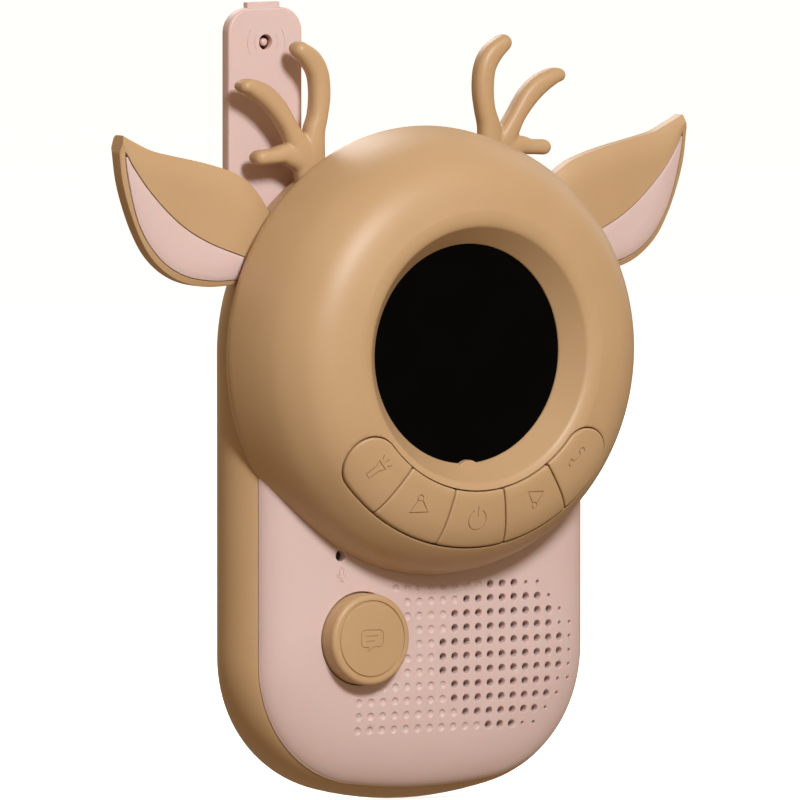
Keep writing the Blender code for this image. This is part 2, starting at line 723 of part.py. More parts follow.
def talk_button(finish, dark_finish):
    face = -FRONT_DEPTH - TALK_PROUD
    back = -FRONT_DEPTH + COVER_WALL + TALK_SEAT
    stem_end = BOARD_DEPTH - SWITCH_T - PLUNGER_T - TALK_TRAVEL - 2 * GAP
    outer = TALK_R + TALK_FLANGE
    profile = [(0, face + 0.1), (TALK_GROOVE_R - 1.2, face + 0.1), (TALK_GROOVE_R, face + 0.18)]
    groove_floor = face + TALK_GROOVE + 0.2
    profile += [(TALK_GROOVE_R, groove_floor), (TALK_GROOVE_R + TALK_GROOVE, groove_floor)]
    profile += [(TALK_GROOVE_R + TALK_GROOVE, face + 0.1), (TALK_R - TALK_ROUND, face + 0.15)]
    profile += [(TALK_R - TALK_ROUND / 3, face + TALK_ROUND / 2), (TALK_R, face + TALK_ROUND + 0.2)]
    profile += [(TALK_R, back), (outer, back), (outer, back + TALK_FLANGE_T)]
    profile += [(TALK_STEM_R, back + TALK_FLANGE_T), (TALK_STEM_R, stem_end), (0, stem_end)]
    origin = at(TALK_X, face, TALK_Z)
    turned("talk_button", profile, TALK_X, TALK_Z, finish, steps=32, closed=False, origin=origin)
    half = SWITCH_SIDE / 2
    switch_back = BOARD_DEPTH - GAP
    switch_front = switch_back - SWITCH_T
    low = (TALK_X - half, switch_front, TALK_Z - half)
    high = (TALK_X + half, switch_back, TALK_Z + half)
    switch = block("talk_switch", low, high, dark_finish)
    tip = switch_front - PLUNGER_T
    join(switch, disc("join_plunger", TALK_X, TALK_Z, PLUNGER_R, tip, switch_back - 1, steps=12))


def speaker(steel_finish, cone_finish, magnet_finish):
    front = SPEAKER_FRONT
    inner = SPEAKER_R - SPEAKER_RIM
    back = front + SPEAKER_T
    hole = BASKET_R - 2.4
    floor = back - 0.7
    profile = [(SPEAKER_R, front), (SPEAKER_R, front + SPEAKER_RIM_T), (BASKET_R, back), (hole, back)]
    profile += [(hole, floor), (BASKET_R - 0.6, floor), (inner, front + SPEAKER_RIM_T - 0.4), (inner, front)]
    turned("speaker_frame", profile, GRILLE_X, GRILLE_Z, steel_finish, steps=28)
    cone = [(0, front + 1.9), (3.2, front + 2.5), (CONE_R, front + 0.4)]
    cone += [(CONE_R, front + 0.9), (3.0, front + 3.1), (0, front + 2.6)]
    turned("speaker_cone", cone, GRILLE_X, GRILLE_Z, cone_finish, steps=24, closed=False)
    magnet = back + GAP
    disc("speaker_magnet", GRILLE_X, GRILLE_Z, MAGNET_R, magnet, magnet + MAGNET_T, magnet_finish, steps=20)


def microphone(metal_finish, rubber_finish):
    front = -FRONT_DEPTH + COVER_WALL + 1.1
    capsule = front + 0.9
    disc("microphone", MIC_X, MIC_Z, MIC_R, capsule, capsule + MIC_T, metal_finish, steps=20)
    boot = [(MIC_HOLE_R + 0.3, front), (MIC_BOOT_R, front), (MIC_BOOT_R, capsule + MIC_T)]
    boot += [(MIC_R + GAP, capsule + MIC_T), (MIC_R + GAP, capsule - GAP), (MIC_HOLE_R + 0.3, capsule - GAP)]
    turned("microphone_boot", boot, MIC_X, MIC_Z, rubber_finish, steps=20)


def boards(board_finish, dark_finish, cable_finish, steel_finish, head_board_back):
    low, high = (-BOARD_HALF, BOARD_DEPTH, BOARD_LOW), (BOARD_HALF, BOARD_DEPTH + BOARD_T, BOARD_HIGH)
    block("main_board", low, high, board_finish)
    back = BOARD_DEPTH + BOARD_T + GAP
    low = (-BOARD_HALF + 4, back, BOARD_LOW + 5)
    block("radio_module", low, (low[0] + RADIO_W, back + RADIO_T, low[2] + RADIO_H), steel_finish)
    block("sound_chip", (4, back, BOARD_LOW + 8), (10, back + 1.4, BOARD_LOW + 14), dark_finish)
    ribbon(cable_finish, head_board_back)


def ribbon(finish, start):
    """The flat cable from the head's board down to the main board, past the battery bay's floor."""
    _, low, _, floor = bay_size()
    front = (-FRONT_DEPTH + COVER_WALL + floor - 1.2) / 2
    turn_z = low - DOOR_LEDGE - BAY_WALL / 2 - 1.4
    route = [(start + GAP, HEAD_Z - 8), (start + GAP + 0.8, HEAD_Z - 9.6)]
    route += [(front - 0.8, HEAD_Z - 11.2), (front, HEAD_Z - 12.6), (front, turn_z + 1.5)]
    route += [(front + 0.8, turn_z - 0.6), (BOARD_DEPTH - 1.4, BOARD_HIGH - 3.4)]
    route.append((BOARD_DEPTH - GAP, BOARD_HIGH - 4.6))
    rings = []
    for k, (depth, z) in enumerate(route):
        before, after = route[max(k - 1, 0)], route[min(k + 1, len(route) - 1)]
        lean = math.atan2(after[1] - before[1], after[0] - before[0])
        dy, dz = -0.5 * RIBBON_T * math.sin(lean), 0.5 * RIBBON_T * math.cos(lean)
        corners = ((-1, -1), (1, -1), (1, 1), (-1, 1))
        rings.append([at(i * RIBBON_W / 2, depth + j * dy, z + j * dz) for i, j in corners])
    loft("ribbon_cable", rings, finish)


def cell_places():
    return [-(2 * CELL_R + CELL_SPACE), 0.0, 2 * CELL_R + CELL_SPACE]


def batteries(cell_finish, spring_finish, plate_finish):
    _, low, top, floor = bay_size()
    depth = floor + GAP + CELL_R
    for k, x in enumerate(cell_places()):
        up = k % 2 == 0
        base = low + 2 * GAP + SPRING_LENGTH
        turned_up("battery_%d" % (k + 1), x, depth, base, up, low, top, cell_finish)
        contact_spring("contact_spring_%d" % (k + 1), x, depth, low, top, up, spring_finish)
        z0, z1 = (top - GAP - PLATE_T, top - GAP) if up else (low + GAP, low + GAP + PLATE_T)
        half = CELL_R - 1
        low_corner, high_corner = (x - half, depth - half, z0), (x + half, depth + half, z1)
        block("contact_plate_%d" % (k + 1), low_corner, high_corner, plate_finish)


def turned_up(name, x, depth, base, up, low, top, finish):
    """A cell: a round can with its nub up, or turned over about the bay's middle."""
    body = CELL_LENGTH - CELL_NUB
    edge = 0.5
    profile = [(CELL_R - edge, 0), (CELL_R, edge), (CELL_R, body - edge), (CELL_R - edge, body)]
    profile += [(CELL_NUB_R, body), (CELL_NUB_R, CELL_LENGTH)]
    rings = []
    for radius, height in profile:
        z = base + height if up else low + top - base - height
        rings.append([at(x + px, depth + py, z) for px, py in arc(0, 0, radius, 0, 342, 19)])
    loft(name, rings, finish)


def contact_spring(name, x, depth, low, top, up, finish):
    """A conical spring against the cell's flat end."""
    wire, turns, steps = 0.3, 3, 9
    curve = bpy.data.curves.new(name, "CURVE")
    curve.dimensions = "3D"
    curve.bevel_depth = wire / 1000
    curve.bevel_resolution = 1
    curve.use_fill_caps = True
    spline = curve.splines.new("POLY")
    count = turns * steps
    spline.points.add(count)
    for k in range(count + 1):
        share = k / count
        radius = 3.9 - 1.5 * share
        angle = 2 * math.pi * turns * share
        height = low + GAP + wire + share * (SPRING_LENGTH - 2 * wire)
        z = height if up else low + top - height
        spline.points[k].co = (*at(x + radius * math.cos(angle), depth + radius * math.sin(angle), z), 1)
    curve.materials.append(finish)
    bpy.context.scene.collection.objects.link(bpy.data.objects.new(name, curve))


def battery_door(finish, screw_finish):
    outline, tab_z = door_outline()
    _, low, _, _ = bay_size()
    hinge_z = low - DOOR_LEDGE
    origin = at(0, BACK_DEPTH, hinge_z)
    door = plate("battery_door", outline, BACK_DEPTH - DOOR_T, BACK_DEPTH, finish, origin)
    sunk = BACK_DEPTH - 0.8
    cut(door, disc("cutter_door_head", 0, tab_z, SCREW_HEAD_R + SCREW_GAP, sunk, BACK_DEPTH + 1, steps=16))
    shaft_r = SCREW_SHAFT_R + SCREW_GAP
    cut(door, disc("cutter_door_shaft", 0, tab_z, shaft_r, BACK_DEPTH - 3, BACK_DEPTH + 1, steps=12))
    screw("door_screw", 0, tab_z, BACK_DEPTH - 0.1, sunk + 0.2, BACK_DEPTH - 6.2, screw_finish)


def screw(name, x, z, head_back, head_front, tip, finish, head_r=SCREW_HEAD_R):
    """A screw along Y: a round head with one slot, and a plain shaft that ends in a short point."""
    towards = 1 if tip > head_back else -1
    profile = [(0, head_back), (head_r - 0.4, head_back)]
    profile += [(head_r, head_back + towards * 0.3), (head_r, head_front)]
    profile += [(SCREW_SHAFT_R, head_front), (SCREW_SHAFT_R, tip - towards * 0.8), (0, tip)]
    made = turned(name, profile, x, z, finish, steps=14, closed=False, origin=at(x, head_back, z))
    low, high = sorted((head_back - towards, head_back + towards * 0.4))
    cut(made, block(f"cutter_slot_{name}", (x - head_r - 1, low, z - 0.35), (x + head_r + 1, high, z + 0.35)))
    return made


def housing_screws(finish):
    for k, (x, z) in enumerate(HOUSING_SCREWS):
        front = SCREW_SEAT + GAP
        screw(f"housing_screw_{k + 1}", x, z, front + SCREW_HEAD_T, front, -0.8, finish)
    for k, (x, z) in enumerate(head_screw_places()):
        front = -FRONT_DEPTH + COVER_WALL + 1.2 + GAP
        screw(f"head_screw_{k + 1}", x, z, front + SCREW_HEAD_T, front, HEAD_SCREW_TIP, finish, 2.2)


# ---- ears, antlers, antenna -------------------------------------------------------------------------

def ear_outline():
    """From the root's top along the ear's upper edge to the tip and back along its belly."""
    upper = smooth(EAR_TOP, 2)[::-1]
    belly = smooth(EAR_BELLY, 2)[::-1]
    low = math.degrees(math.atan2(EAR_BELLY[0][1] - HEAD_Z, EAR_BELLY[0][0]))
    high = math.degrees(math.atan2(EAR_TOP[-1][1] - HEAD_Z, EAR_TOP[-1][0]))
    root = arc(0, HEAD_Z, EAR_SHELL_R, low % 360, high % 360, 5)[1:-1]
    return upper + belly + root


def inlay_outline():
    return smooth(INLAY_TOP, 2)[::-1] + smooth(INLAY_LOW, 2)[::-1]


def ears(tan, pink):
    back = TRIM_FRONT + TRIM_T
    for side in ("left", "right"):
        ear = plate(f"ear_{side}", mirrored(ear_outline(), side), TRIM_FRONT, back, tan)
        angle = side_angle(EAR_TONGUE_ANGLE, side)
        cut(ear, disc(f"cutter_ear_{side}", 0, HEAD_Z, BULGE_HALF + GAP, 0, 12, steps=64))
        tongue = radial_outline(angle, TONGUE_IN, BULGE_HALF + 4, TONGUE_HALF)
        join(ear, plate(f"join_ear_tongue_{side}", tongue, TRIM_FRONT + INLAY_DEPTH, back - 0.4))
        recess = grow(mirrored(inlay_outline(), side), GAP)
        cut(ear, plate(f"cutter_inlay_{side}", recess, TRIM_FRONT - 1, TRIM_FRONT + INLAY_DEPTH))
        inlay = mirrored(inlay_outline(), side)
        plate(f"ear_inlay_{side}", inlay, TRIM_FRONT + 0.25, TRIM_FRONT + INLAY_DEPTH - GAP, pink)


def stroke(points, inset):
    """Outline of a tapering tine with a round tip; each point is x, z and half the width there."""
    left, right = [], []
    line = smooth(points, 2)
    for k, (x, z, radius) in enumerate(line):
        before, after = line[max(k - 1, 0)], line[min(k + 1, len(line) - 1)]
        lean = math.atan2(after[1] - before[1], after[0] - before[0])
        r = radius - inset * radius
        left.append((x - r * math.sin(lean), z + r * math.cos(lean)))
        right.append((x + r * math.sin(lean), z - r * math.cos(lean)))
    tip_x, tip_z, radius = line[-1]
    lean = math.degrees(math.atan2(line[-1][1] - line[-2][1], line[-1][0] - line[-2][0]))
    tip = arc(tip_x, tip_z, radius * (1 - inset), lean - 90, lean + 90, 5)[1:-1]
    return right + tip + left[::-1]


def tine(name, points, side, finish=None):
    sections = ((0.72, ANTLER_FRONT), (0.35, ANTLER_FRONT + 0.3), (0.0, ANTLER_EDGE), (0.0, ANTLER_BACK))
    rings = [[at(x, d, z) for x, z in mirrored(stroke(points, inset), side)] for inset, d in sections]
    return loft(name, rings, finish)


def antlers(finish):
    for side in ("left", "right"):
        antler = tine(f"antler_{side}", TINE_MAIN, side, finish)
        for name, points in (("middle", TINE_MIDDLE), ("lower", TINE_LOWER)):
            join(antler, tine(f"join_{name}_{side}", points, side))
        angle = side_angle(ANTLER_TONGUE_ANGLE, side)
        tongue = radial_outline(angle, TONGUE_IN, BULGE_HALF + 3, ANTLER_TONGUE_HALF)
        cut(antler, disc(f"cutter_antler_{side}", 0, HEAD_Z, BULGE_HALF + GAP, 0, 12, steps=64))
        back = TRIM_FRONT + TRIM_T
        join(antler, plate(f"join_antler_tongue_{side}", tongue, TRIM_FRONT + 0.4, back - 0.4))


def blade_outline(inset):
    """The antenna's blade: round corners on top, and a chamfered outer corner where it enters the shell."""
    left, right = BLADE_X - BLADE_W / 2, BLADE_X + BLADE_W / 2
    across, up = BLADE_CHAMFER
    corner = BLADE_CORNER - inset
    outline = [(left + inset, BLADE_LOW + up), (left + across + inset, BLADE_LOW), (right - inset, BLADE_LOW)]
    outline += arc(right - BLADE_CORNER, BLADE_TOP - BLADE_CORNER, corner, 0, 90, 6)
    outline += arc(left + BLADE_CORNER, BLADE_TOP - BLADE_CORNER, corner, 90, 180, 6)
    return outline


def middle_slab(name, half, thickness, low, high, finish=None):
    """A slab in the middle of the blade's thickness."""
    middle = BLADE_FRONT + BLADE_T / 2
    front, back = middle - thickness / 2, middle + thickness / 2
    return block(name, (BLADE_X - half, front, low), (BLADE_X + half, back, high), finish)


def antenna(pink, clear_finish, copper_finish):
    back = BLADE_FRONT + BLADE_T
    sections = ((0.45, BLADE_FRONT), (0.0, BLADE_FRONT + 0.45), (0.0, back - 0.9), (0.9, back))
    rings = [[at(x, depth, z) for x, z in blade_outline(inset)] for inset, depth in sections]
    blade = loft("antenna_blade", rings, pink)
    join(blade, middle_slab("join_tab", TAB_W / 2, TAB_T, BLADE_TOP - 1, BLADE_TOP + TAB_H))
    cut(blade, middle_slab("cutter_aerial", STRIP_W / 2 + GAP, POCKET_T, BLADE_LOW - 1, BLADE_TOP - 3.5))
    middle = BLADE_FRONT + BLADE_T / 2
    cut(blade, disc("cutter_led", BLADE_X, LED_Z, LED_HOLE_R, BLADE_FRONT - 1, middle, steps=16))
    led_back = middle - STRIP_T / 2 - GAP
    disc("torch_led", BLADE_X, LED_Z, LED_R, BLADE_FRONT + 0.3, led_back, clear_finish, steps=12)
    middle_slab("aerial_strip", STRIP_W / 2, STRIP_T, BLADE_LOW + 0.5, BLADE_TOP - 4.2, copper_finish)


def build():
    clear_scene()
    tan = material("tan_abs", TAN)
    pink = material("pink_abs", PINK)
    black = material("black_acrylic", BLACK, 0.2)
    green = material("circuit_board", BOARD_GREEN, 0.5)
    dark = material("dark_plastic", (0.02, 0.02, 0.022), 0.5)
    rubber = material("silicone", (0.35, 0.33, 0.31), 0.7)
    steel = material("zinc_steel", STEEL, 0.35, 1.0)
    brass = material("nickel_contact", (0.66, 0.62, 0.52), 0.3, 1.0)
    cone = material("paper_cone", (0.03, 0.03, 0.03), 0.9)
    wrap = material("cell_wrap", (0.05, 0.09, 0.16), 0.35)
    cable = material("flat_cable", (0.75, 0.74, 0.70), 0.5)
    copper = material("copper_strip", (0.60, 0.32, 0.16), 0.35, 1.0)
    clear = material("clear_led", (0.80, 0.72, 0.66), 0.15)
    rear_shell(tan)
    front_cover(pink)
    head_shell(tan)
    keys(tan)
    board_back = display(black, green, dark, rubber)
    talk_button(tan, dark)
    speaker(steel, cone, dark)
    microphone(steel, rubber)
    boards(green, dark, cable, steel, board_back)
    batteries(wrap, steel, brass)
    battery_door(tan, steel)
    housing_screws(steel)
    ears(tan, pink)
    antlers(tan)
    antenna(pink, clear, copper)


build()
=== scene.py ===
import math

import bmesh
import bpy
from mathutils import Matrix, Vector


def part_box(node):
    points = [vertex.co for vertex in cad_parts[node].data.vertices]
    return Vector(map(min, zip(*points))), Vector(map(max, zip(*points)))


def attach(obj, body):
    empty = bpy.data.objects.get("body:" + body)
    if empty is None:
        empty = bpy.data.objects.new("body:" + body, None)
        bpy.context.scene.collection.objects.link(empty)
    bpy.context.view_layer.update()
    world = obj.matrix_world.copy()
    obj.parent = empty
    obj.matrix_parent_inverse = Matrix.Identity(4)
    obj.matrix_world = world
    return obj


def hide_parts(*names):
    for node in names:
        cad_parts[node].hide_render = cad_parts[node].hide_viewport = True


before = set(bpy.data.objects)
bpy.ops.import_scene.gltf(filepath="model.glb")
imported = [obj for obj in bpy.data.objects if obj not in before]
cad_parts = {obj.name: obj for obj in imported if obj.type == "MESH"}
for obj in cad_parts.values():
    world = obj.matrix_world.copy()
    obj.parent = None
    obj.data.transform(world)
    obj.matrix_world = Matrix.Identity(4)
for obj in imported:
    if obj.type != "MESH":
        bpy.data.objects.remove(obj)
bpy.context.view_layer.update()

# Sizes are in millimetres. A depth is counted from the seam between front cover and rear shell,
# negative to the front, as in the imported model; every mesh turns them into metres in at().
mm = 0.001
gap = 0.3

body = {
    "seamHalf": 33.85, "seamBottom": 2.5, "seamCorner": 22.0, "seamSole": 105.0,
    "bulgeHalf": 36.8, "bulgeCorner": 25.9, "bulgeSole": 70.0,
    "edgeR": 8.8, "edgeDepth": 6.4, "wall": 2.0,
    "coverWall": 1.8, "frontDepth": 5.0, "crownReach": 17.0, "soleSlope": 1.5, "coverEdge": -0.12,
}
backDepth = body["edgeDepth"] + body["edgeR"]
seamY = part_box("rear_shell")[1].y / mm - backDepth

head = {
    "z": 80.0, "wall": 2.0, "drop": 0.4,
    "curve": ((38.1, 3.2), (39.3, 1.8), (39.9, 0.1), (39.75, -2.3), (39.35, -5.2), (38.75, -8.2),
              (37.75, -11.4), (36.2, -14.2), (34.1, -16.8), (31.6, -18.5), (28.8, -19.5), (25.4, -20.2)),
    "rim": ((24.6, -20.19), (23.9, -20.08), (23.3, -19.92), (22.85, -19.7), (22.58, -19.5), (22.42, -19.28)),
    "screenR": 19.4, "screenDepth": 15.2, "pocketR": 21.4, "skirt": 36.65, "nubR": 2.6, "nubProud": 0.65,
    "pocketDeep": 1.7, "pocketWall": 1.9, "clear": 0.12,
}


def at(x, depth, z):
    return Vector((x * mm, (depth + seamY) * mm, z * mm))


# mesh helpers

def arc(x, z, radius, start, end, steps):
    points = []
    for k in range(steps + 1):
        angle = math.radians(start + (end - start) * k / steps)
        points.append((x + radius * math.cos(angle), z + radius * math.sin(angle)))
    return points


def circle(x, z, radius, steps=48):
    return arc(x, z, radius, 0, 360, steps)[:-1]


def smooth(points, steps):
    # a smooth curve through the given points, whose ends stay ends
    padded = [points[0], *points, points[-1]]
    made = []
    for a, b, c, d in zip(padded, padded[1:], padded[2:], padded[3:]):
        for k in range(steps):
            t = k / steps
            made.append(tuple(
                q + 0.5 * t * ((r - p) + t * (2 * p - 5 * q + 4 * r - s + t * (3 * q - p - 3 * r + s)))
                for p, q, r, s in zip(a, b, c, d)
            ))
    made.append(tuple(points[-1]))
    return made


def grow(outline, distance):
    # the outline moved outwards, square to its edges
    turn = sum(a[0] * b[1] - b[0] * a[1] for a, b in zip(outline, outline[1:] + outline[:1]))
    sign = 1 if turn > 0 else -1
    grown = []
    for before, here, after in zip(outline[-1:] + outline[:-1], outline, outline[1:] + outline[:1]):
        first = math.atan2(here[1] - before[1], here[0] - before[0])
        second = math.atan2(after[1] - here[1], after[0] - here[0])
        bend = (second - first + math.pi) % (2 * math.pi) - math.pi
        middle = first + bend / 2 - sign * math.pi / 2
        step = distance / max(math.cos(bend / 2), 0.45)
        grown.append((here[0] + step * math.cos(middle), here[1] + step * math.sin(middle)))
    return grown


def resampled(points, count):
    # evenly spaced points along an open line
    lengths = [0.0]
    for a, b in zip(points, points[1:]):
        lengths.append(lengths[-1] + math.dist(a, b))
    made = []
    k = 0
    for i in range(count):
        want = lengths[-1] * i / (count - 1)
        while k < len(points) - 2 and lengths[k + 1] < want:
            k += 1
        share = (want - lengths[k]) / max(lengths[k + 1] - lengths[k], 1e-9)
        made.append(tuple(a + (b - a) * share for a, b in zip(points[k], points[k + 1])))
    return made


def filled(outline, longest):
    # a closed outline with points added wherever an edge is long, so that it can follow a curved face
    made = []
    for a, b in zip(outline, outline[1:] + outline[:1]):
        count = max(1, math.ceil(math.dist(a, b) / longest))
        made += [tuple(p + (q - p) * k / count for p, q in zip(a, b)) for k in range(count)]
    return made


def loftInto(bm, rings, closed=False):
    # a skin over rings of equally many points; capped at both ends unless it closes on itself
    made = [[bm.verts.new(point) for point in ring] for ring in rings]
    count = len(rings[0])
    pairs = list(zip(made, made[1:] + ([made[0]] if closed else [])))
    for low, high in pairs:
        for i in range(count):
            j = (i + 1) % count
            bm.faces.new((low[i], low[j], high[j], high[i]))
    if not closed:
        bm.faces.new(made[0][::-1])
        bm.faces.new(made[-1])


def domedInto(bm, rings, tip):
    # a skin over rings that ends in one point
    loftInto(bm, rings)
    bm.faces.ensure_lookup_table()
    cap = bm.faces[-1]
    corners = list(cap.verts)
    bm.faces.remove(cap)
    top = bm.verts.new(tip)
    for a, b in zip(corners, corners[1:] + corners[:1]):
        bm.faces.new((a, b, top))


def turnedInto(bm, profile, x, z, steps, onAxis=True):
    # a turned shape about a line along Y; onAxis: the profile starts and ends on that line
    columns = []
    ends = {}
    for step in range(steps):
        angle = 2 * math.pi * step / steps
        column = []
        for k, (r, depth) in enumerate(profile):
            if onAxis and k in (0, len(profile) - 1):
                if k not in ends:
                    ends[k] = bm.verts.new(at(x, depth, z))
                column.append(ends[k])
            else:
                column.append(bm.verts.new(at(x + r * math.cos(angle), depth, z + r * math.sin(angle))))
        columns.append(column)
    last = len(profile) - 1 if onAxis else len(profile)
    for here, there in zip(columns, columns[1:] + columns[:1]):
        for k in range(last):
            m = (k + 1) % len(profile)
            bm.faces.new(list(dict.fromkeys((here[k], here[m], there[m], there[k]))))


def prismInto(bm, outline, front, back):
    loftInto(bm, [[at(x, depth, z) for x, z in outline] for depth in (front, back)])


def rounds(x, z, profile, steps):
    # rings about a line along Y, one for each (radius, depth)
    return [[at(px, depth, pz) for px, pz in circle(x, z, r, steps)] for r, depth in profile]


def bend(radius, steps):
    # a quarter round as (across, down) steps, from square to the face to flush with it
    angles = [math.pi / 2 * k / steps for k in range(steps + 1)]
    return [(radius * (1 - math.sin(a)), radius * (1 - math.cos(a))) for a in angles]


def box(bm, low, high):
    (x0, y0, z0), (x1, y1, z1) = low, high
    prismInto(bm, ((x0, z0), (x1, z0), (x1, z1), (x0, z1)), y0, y1)


def solid(name, fill, *args, **settings):
    # an object of what one of the functions above puts into an empty mesh
    bm = bmesh.new()
    fill(bm, *args, **settings)
    return solidOf(name, bm)


def solidOf(name, bm):
    bmesh.ops.recalc_face_normals(bm, faces=bm.faces)
    mesh = bpy.data.meshes.new(name)
    bm.to_mesh(mesh)
    bm.free()
    made = bpy.data.objects.new(name, mesh)
    bpy.context.scene.collection.objects.link(made)
    return made


def settle(piece):
    # applies the modifiers
    bpy.context.view_layer.update()
    shape = bpy.data.meshes.new_from_object(piece.evaluated_get(bpy.context.evaluated_depsgraph_get()))
    piece.modifiers.clear()
    old = piece.data
    piece.data = shape
    bpy.data.meshes.remove(old)
    shape.name = piece.name


def carve(piece, *tools, how="DIFFERENCE"):
    for tool in tools:
        step = piece.modifiers.new("carve", "BOOLEAN")
        step.operation = how
        step.solver = "MANIFOLD"
        step.object = tool
    settle(piece)
    for tool in tools:
        bpy.data.objects.remove(tool)


def soften(piece, width, angle=50, segments=2):
    # a small radius on every sharp edge, as a mould leaves
    step = piece.modifiers.new("edge radius", "BEVEL")
    step.width = width * mm
    step.segments = segments
    step.limit_method = "ANGLE"
    step.angle_limit = math.radians(angle)
    step.use_clamp_overlap = True
    settle(piece)


def finishPiece(piece, finish, bodyName, slot, *nodes, sharp=38):
    piece.data.shade_smooth()
    piece.data.set_sharp_from_angle(angle=math.radians(sharp))
    evened = piece.modifiers.new("even normals", "WEIGHTED_NORMAL")
    evened.keep_sharp = True
    evened.weight = 90
    piece.data.materials.clear()
    piece.data.materials.append(finish)
    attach(piece, bodyName)
    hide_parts(*nodes)


# materials

def linear(hexColour):
    # sRGB hex to the linear values that the shader takes
    values = []
    for k in (0, 2, 4):
        share = int(hexColour[k:k + 2], 16) / 255
        values.append(share / 12.92 if share <= 0.04045 else ((share + 0.055) / 1.055) ** 2.4)
    return (*values, 1.0)


def addNode(tree, kind, settings=None, links=None):
    node = tree.nodes.new(kind)
    for name, value in (settings or {}).items():
        if name in node.inputs:
            node.inputs[name].default_value = value
        else:
            setattr(node, name, value)
    for name, (source, output) in (links or {}).items():
        tree.links.new(source.outputs[output], node.inputs[name])
    return node


def newFinish(name, settings):
    made = bpy.data.materials.new(name)
    made.use_nodes = True
    shader = made.node_tree.nodes["Principled BSDF"]
    for socket, value in settings.items():
        shader.inputs[socket].default_value = value
    return made, made.node_tree, shader


def cloudyColour(tree, shader, low, high, sizeMm, detail=2.0):
    # two near shades that drift into each other over sizeMm
    place = addNode(tree, "ShaderNodeTexCoord")
    cloud = addNode(tree, "ShaderNodeTexNoise", {"Scale": 1 / (sizeMm * mm), "Detail": detail},
                    {"Vector": (place, "Object")})
    ramp = addNode(tree, "ShaderNodeValToRGB", links={"Fac": (cloud, "Fac")})
    ramp.color_ramp.elements[0].position = 0.35
    ramp.color_ramp.elements[0].color = linear(low)
    ramp.color_ramp.elements[1].position = 0.65
    ramp.color_ramp.elements[1].color = linear(high)
    tree.links.new(ramp.outputs["Color"], shader.inputs["Base Color"])
    return place


def grainBump(tree, shader, place, sizeMm, heightMm, roughness):
    # a fine grain that breaks up the gloss: sizeMm across, heightMm high, with roughness drifting a little
    grain = addNode(tree, "ShaderNodeTexNoise", {"Scale": 1 / (sizeMm * mm), "Detail": 1.0},
                    {"Vector": (place, "Object")})
    bump = addNode(tree, "ShaderNodeBump", {"Strength": 0.6, "Distance": heightMm * mm},
                   {"Height": (grain, "Fac")})
    tree.links.new(bump.outputs["Normal"], shader.inputs["Normal"])
    spread = addNode(tree, "ShaderNodeTexNoise", {"Scale": 1 / (14 * mm), "Detail": 2.0},
                     {"Vector": (place, "Object")})
    band = addNode(tree, "ShaderNodeMapRange",
                   {"To Min": roughness - 0.04, "To Max": roughness + 0.04}, {"Value": (spread, "Fac")})
    tree.links.new(band.outputs["Result"], shader.inputs["Roughness"])


def mouldedAbs(name, look):
    # ABS, injection moulded in a finely spark-eroded tool: opaque, satin, with a soft wide highlight.
    # A little light runs under the skin, so that thin edges and hole walls glow warm.
    made, tree, shader = newFinish(name, {
        "IOR": 1.54, "Subsurface Weight": look["glow"], "Subsurface Radius": look["glowRadius"],
        "Subsurface Scale": 1.0 * mm, "Specular IOR Level": look["gloss"],
    })
    place = cloudyColour(tree, shader, look["low"], look["high"], 26)
    # the real grain is about 0.05 mm, too fine to show, so it is drawn at 0.3 mm
    grainBump(tree, shader, place, 0.3, 0.006, look["roughness"])
    return made


tanLook = {"low": "bd9c73", "high": "c1a178", "roughness": 0.46, "gloss": 0.42,
           "glow": 0.12, "glowRadius": (1.0, 0.42, 0.20)}
pinkLook = {"low": "d6beb8", "high": "d9c2bc", "roughness": 0.5, "gloss": 0.36,
            "glow": 0.30, "glowRadius": (1.0, 0.30, 0.20)}
tanAbs = mouldedAbs("tan_moulded_abs", tanLook)
pinkAbs = mouldedAbs("pink_moulded_abs", pinkLook)


def castAcrylic():
    # Black acrylic sheet with an anti-glare coat: deep, even black with almost no reflection.
    made, tree, shader = newFinish("black_cast_acrylic", {"IOR": 1.49, "Specular IOR Level": 0.03})
    place = cloudyColour(tree, shader, "040404", "060606", 12)
    grainBump(tree, shader, place, 0.2, 0.001, 0.3)
    return made


def platedSteel(name, low, high, roughness):
    # Zinc or nickel plated steel, barrel plated: bright grey metal with a faint cloudy haze.
    made, tree, shader = newFinish(name, {"Metallic": 1.0})
    place = cloudyColour(tree, shader, low, high, 1.2, 4.0)
    grainBump(tree, shader, place, 0.15, 0.002, roughness)
    return made


def solderMask():
    # Glass-epoxy circuit board under green solder mask: glossy green with the weave and tracks just showing.
    made, tree, shader = newFinish("green_solder_mask", {"IOR": 1.5, "Coat Weight": 0.4})
    place = addNode(tree, "ShaderNodeTexCoord")
    # tracks are 0.25 mm wide; drawn at 0.8 mm so that they show
    tracks = addNode(tree, "ShaderNodeTexBrick",
                     {"Scale": 1 / (8 * mm), "Mortar Size": 0.03, "Color1": linear("12603a"),
                      "Color2": linear("15683f"), "Mortar": linear("1f8a55")}, {"Vector": (place, "Object")})
    tree.links.new(tracks.outputs["Color"], shader.inputs["Base Color"])
    grainBump(tree, shader, place, 0.4, 0.004, 0.32)
    return made


def plainMoulding(name, low, high, roughness, sizeMm=6.0):
    # A moulded or pressed part inside the case: one colour with a soft drift, and a fine grain.
    made, tree, shader = newFinish(name, {"IOR": 1.5})
    place = cloudyColour(tree, shader, low, high, sizeMm)
    grainBump(tree, shader, place, 0.25, 0.004, roughness)
    return made


